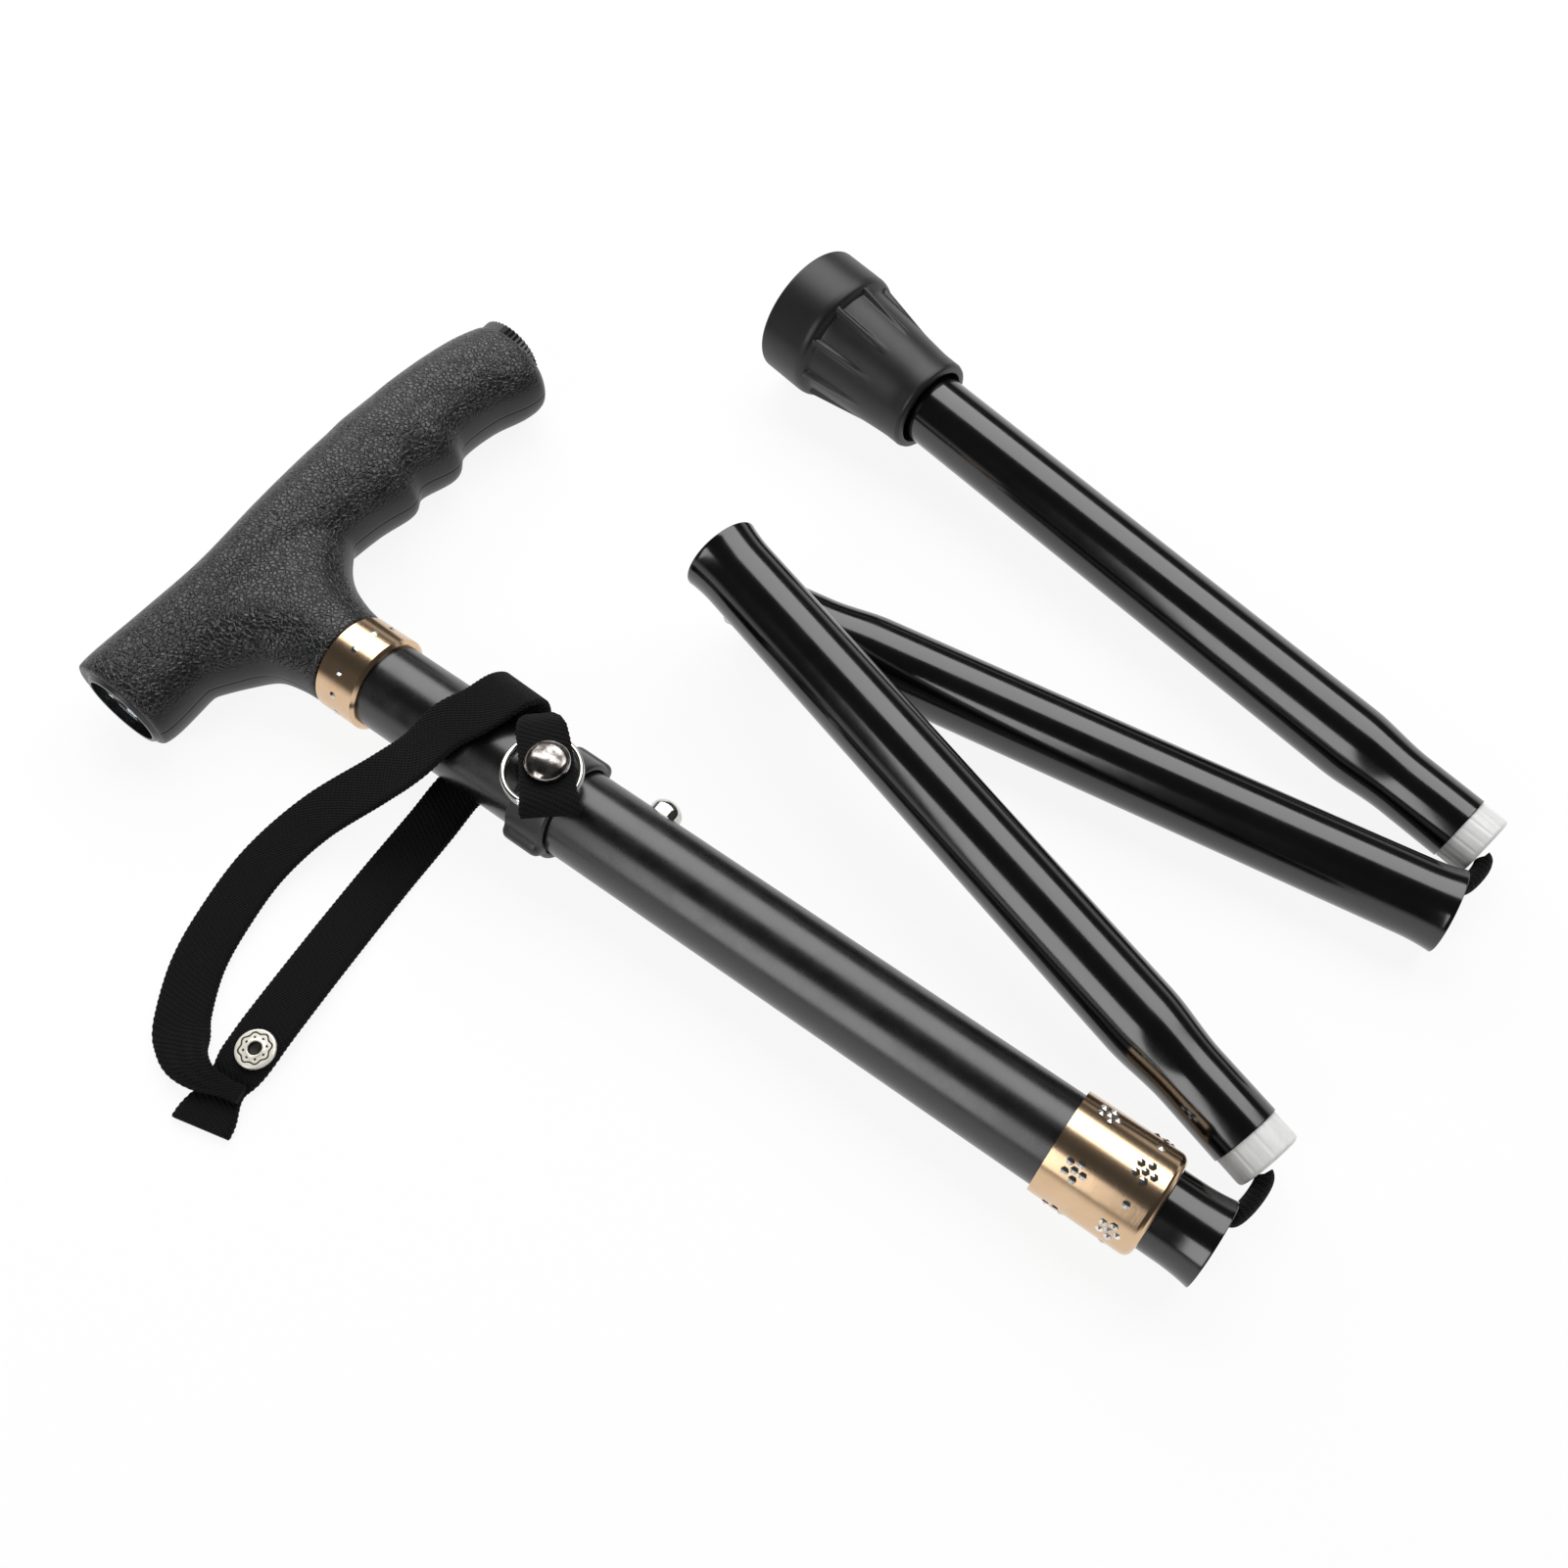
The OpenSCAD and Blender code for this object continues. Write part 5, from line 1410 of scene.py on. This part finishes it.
class CANE_OT_elastic(Operator):
    """Makes the elastic cord: its hidden lengths and its loop at each fold"""
    bl_idname = "cane.elastic"
    bl_label = "Elastic cord"

    RUN_POINTS = 40
    LEAD_POINTS = 20
    BEND_POINTS = 40
    LEAD_SHARE = 0.4
    PLUG_GAP = 0.3 * MM
    SWING_INSIDE = 5.2 * MM

    def hidden(self, name, node, head, body, sizes, material):
        place, run = run_along(node, head)
        x = np.linspace(0, run, self.RUN_POINTS)
        path = set_down(np.column_stack([x, np.zeros((len(x), 2))]), place)
        made = swept_cord(name, path, sizes.cord_r, UP, material)
        settle(made, body, "elastic", node)

    def loop(self, name, node, mouth, out, tip, tip_out, inside, bodies, sizes, material):
        """A taut loop from inside a mouth, close round its edge and into a plug."""
        mouth, out, tip, tip_out = (np.array(v, float) for v in (mouth, out, tip, tip_out))
        side = unit(tip - mouth - out * np.dot(tip - mouth, out))
        start = mouth - out * inside
        near = mouth + side * sizes.mouth_lean
        far = tip - side * sizes.plug_lean
        pull = out * inside * self.LEAD_SHARE
        lead = bezier(start, start + pull, near - pull, near, self.LEAD_POINTS)[:-1]
        bend = bezier(near, near + out * sizes.reach, far + tip_out * sizes.reach, far, self.BEND_POINTS)
        made = swept_cord(name, np.vstack([lead, bend]), sizes.cord_r, np.cross(out, tip - mouth), material,
                          flat=sizes.flat_share)
        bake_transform(made)
        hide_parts(node)

    def swing_mouth(self, place, run):
        """Where the second loop leaves the swing link, and the way that it points."""
        joint = next(j for j in frame["joints"] if j["name"] == "swing_2")
        turn = Matrix.Rotation(-math.radians(joint["range_deg"][1]), 4, Vector(joint["axis"]))
        pivot = Vector(joint["pos_m"])
        mouth = place @ Vector((run, 0, 0))
        return pivot + turn @ (mouth - pivot), (turn @ place.col[0].to_3d()).normalized()

    def execute(self, context):
        sizes = context.scene.cane_elastic
        material = shared_materials(context.scene)["braided_elastic"]
        runs = [run_along(f"section_{k}_tube", f"section_{k}_plug") for k in (2, 3, 4)]
        third, third_run = runs[1]
        mouths = [
            (SHAFT, ALONG),
            self.swing_mouth(*runs[0]),
            (third @ Vector((third_run, 0, 0)), third.col[0].to_3d()),
        ]
        from_tube = Vector((-context.scene.cane_tubes.plug_out - self.PLUG_GAP, 0, 0))
        tips = [(place @ from_tube, -place.col[0].to_3d()) for place, _ in runs]
        nodes = ["elastic_loop_1", "elastic_loop_2_lower", "elastic_loop_3"]
        insides = [sizes.inside, self.SWING_INSIDE, sizes.inside]
        bodies = [("link_1", "section_2"), ("swing_link", "section_3"), ("link_3", "section_4")]
        for k in range(3):
            self.loop(f"cord_loop_{k + 1}", nodes[k], *mouths[k], *tips[k], insides[k], bodies[k], sizes,
                      material)
        self.hidden("cord_end_2", "elastic_loop_2_upper", "section_2_plug", "link_2", sizes, material)
        for k, head, body in ((1, "cord_anchor", "inner_shaft"), (2, "section_2_plug", "section_2"),
                              (3, "section_3_plug", "section_3"), (4, "section_4_plug", "section_4")):
            self.hidden(f"cord_run_{k}", f"elastic_cord_{k}", head, body, sizes, material)
        return {"FINISHED"}


# Along the tip from its foot, its radius between the lip's and the foot's
TIP_SHARES = [
    [0.02, 1.00], [0.14, 1.00], [0.26, 1.00], [0.295, 0.97], [0.318, 0.88], [0.33, 0.74], [0.342, 0.6],
    [0.365, 0.53], [0.5, 0.40], [0.69, 0.22], [0.86, 0.07], [0.93, 0.05], [0.975, 0.05],
]


class CANE_OT_tip(Operator):
    """Makes the rubber tip with its gussets and its ringed foot"""
    bl_idname = "cane.tip"
    bl_label = "Rubber tip"

    SIDES = 300
    SIDE_STEPS = 7
    RINGS = 3
    # Half width of a ring's floor against half width of its mouth
    RING_FLOOR_SHARE = 0.8
    HEEL_ROUND = 0.8 * MM
    HEEL_POINTS = 6
    # Out from the lip's radius and down from its top, over the lip's outer edge
    LIP_OUTSIDE = [(0.1 * MM, 0.7 * MM), (-0.1 * MM, 0.25 * MM), (-0.5 * MM, 0)]
    # Out from the gap round the tube and down from the lip's top, over its inner edge
    LIP_INSIDE = [(0.2 * MM, 0), (0, 0.4 * MM), (-0.3 * MM, 2.5 * MM)]
    LIP_DEPTH = 4 * MM
    # Foot and top of a gusset along the tip
    GUSSET_FOOT_SHARE = 0.3
    GUSSET_TOP_SHARE = 0.72
    # Radius of its crest at its foot, between the lip's and the foot's, and how far it falls to its top
    CREST_FOOT_SHARE = 0.86
    CREST_FALL_SHARE = 0.68
    # Half widths of a gusset's crest and of its root, as shares of its thickness
    CREST_SHARE = 0.3
    ROOT_SHARE = 0.75
    WALL_LEAST = 1.5 * MM

    def outline(self, sizes, reach):
        """From the middle of the foot, up the outside, over the lip and down to the floor of the hollow."""
        under = [[0, 0]]
        half = sizes.groove_w / 2
        floor_half = self.RING_FLOOR_SHARE * half
        for k in range(1, self.RINGS + 1):
            middle = sizes.foot_r * k / (self.RINGS + 1)
            under += [[middle - half, 0], [middle - floor_half, sizes.groove],
                      [middle + floor_half, sizes.groove], [middle + half, 0]]
        edge = self.HEEL_ROUND
        heel = [[sizes.foot_r - edge + edge * math.sin(a), edge - edge * math.cos(a)]
                for a in np.linspace(0, math.pi / 2, self.HEEL_POINTS)]
        side = spline([[sizes.lip_r + reach * r, sizes.tip_len * s] for s, r in TIP_SHARES], self.SIDE_STEPS)
        top = sizes.tip_len
        inner = sizes.cavity_r + sizes.lip_gap
        lip = [[sizes.lip_r + out, top - down] for out, down in self.LIP_OUTSIDE]
        lip += [[inner + out, top - down] for out, down in self.LIP_INSIDE]
        hollow = [[sizes.cavity_r, top - self.LIP_DEPTH], [sizes.cavity_r, sizes.floor], [0, sizes.floor]]
        return np.vstack([under, heel, side, lip, hollow])

    def execute(self, context):
        sizes = context.scene.cane_tip
        material = shared_materials(context.scene)["moulded_rubber"]
        place, run = run_along("rubber_tip", "section_4_plug")
        foot = place @ Matrix.Translation((run, 0, 0)) @ TO_BACK
        reach = sizes.foot_r - sizes.lip_r
        low = self.GUSSET_FOOT_SHARE * sizes.tip_len
        high = self.GUSSET_TOP_SHARE * sizes.tip_len
        crest_half = self.CREST_SHARE * sizes.gusset_w
        root_half = self.ROOT_SHARE * sizes.gusset_w

        def gussets(radius, x, angles):
            up = (x - low) / (high - low)
            outside = radius > sizes.cavity_r + self.WALL_LEAST
            crest = sizes.lip_r + reach * (self.CREST_FOOT_SHARE - self.CREST_FALL_SHARE * up) - radius
            if not outside or not 0 <= up <= 1 or crest <= 0:
                return np.zeros(len(angles))
            step = 2 * math.pi / sizes.gussets
            off = np.abs((angles + step / 2) % step - step / 2) * radius
            return crest * (1 - smooth_step(crest_half, root_half, off))

        made = turned("rubber_ferrule", self.outline(sizes, reach), foot, material, sides=self.SIDES,
                      looped=False, ripple=gussets, sharp=55)
        settle(made, "section_4", "tip_rubber", "rubber_tip")
        return {"FINISHED"}


STEPS = ["stage", "elastic", "finishes", "grip", "tubes", "ornament", "fittings", "strap", "tip"]


class CANE_PT_pieces(Panel):
    """Lists the cane's pieces in the sidebar"""
    bl_idname = "CANE_PT_pieces"
    bl_label = "Folding cane"
    bl_space_type = "VIEW_3D"
    bl_region_type = "UI"
    bl_category = "Cane"

    def draw(self, context):
        for step in STEPS:
            self.layout.operator(f"cane.{step}")


GROUPS = {
    "cane_stage": StageSizes,
    "cane_grip": GripSizes,
    "cane_tubes": TubeSizes,
    "cane_fittings": FittingSizes,
    "cane_strap": StrapSizes,
    "cane_elastic": ElasticSizes,
    "cane_tip": TipSizes,
}
OPERATORS = [
    CANE_OT_stage, CANE_OT_finishes, CANE_OT_grip, CANE_OT_tubes, CANE_OT_ornament, CANE_OT_fittings,
    CANE_OT_strap, CANE_OT_elastic, CANE_OT_tip,
]


def register():
    for group in [*GROUPS.values(), *OPERATORS, CANE_PT_pieces]:
        bpy.utils.register_class(group)
    for name, group in GROUPS.items():
        setattr(bpy.types.Scene, name, PointerProperty(type=group))


def unregister():
    for name in GROUPS:
        delattr(bpy.types.Scene, name)
    for group in [CANE_PT_pieces, *reversed(OPERATORS), *GROUPS.values()]:
        bpy.utils.unregister_class(group)


def main():
    register()
    for step in STEPS:
        getattr(bpy.ops.cane, step)()
    bpy.context.view_layer.update()


if __name__ == "__main__":
    main()
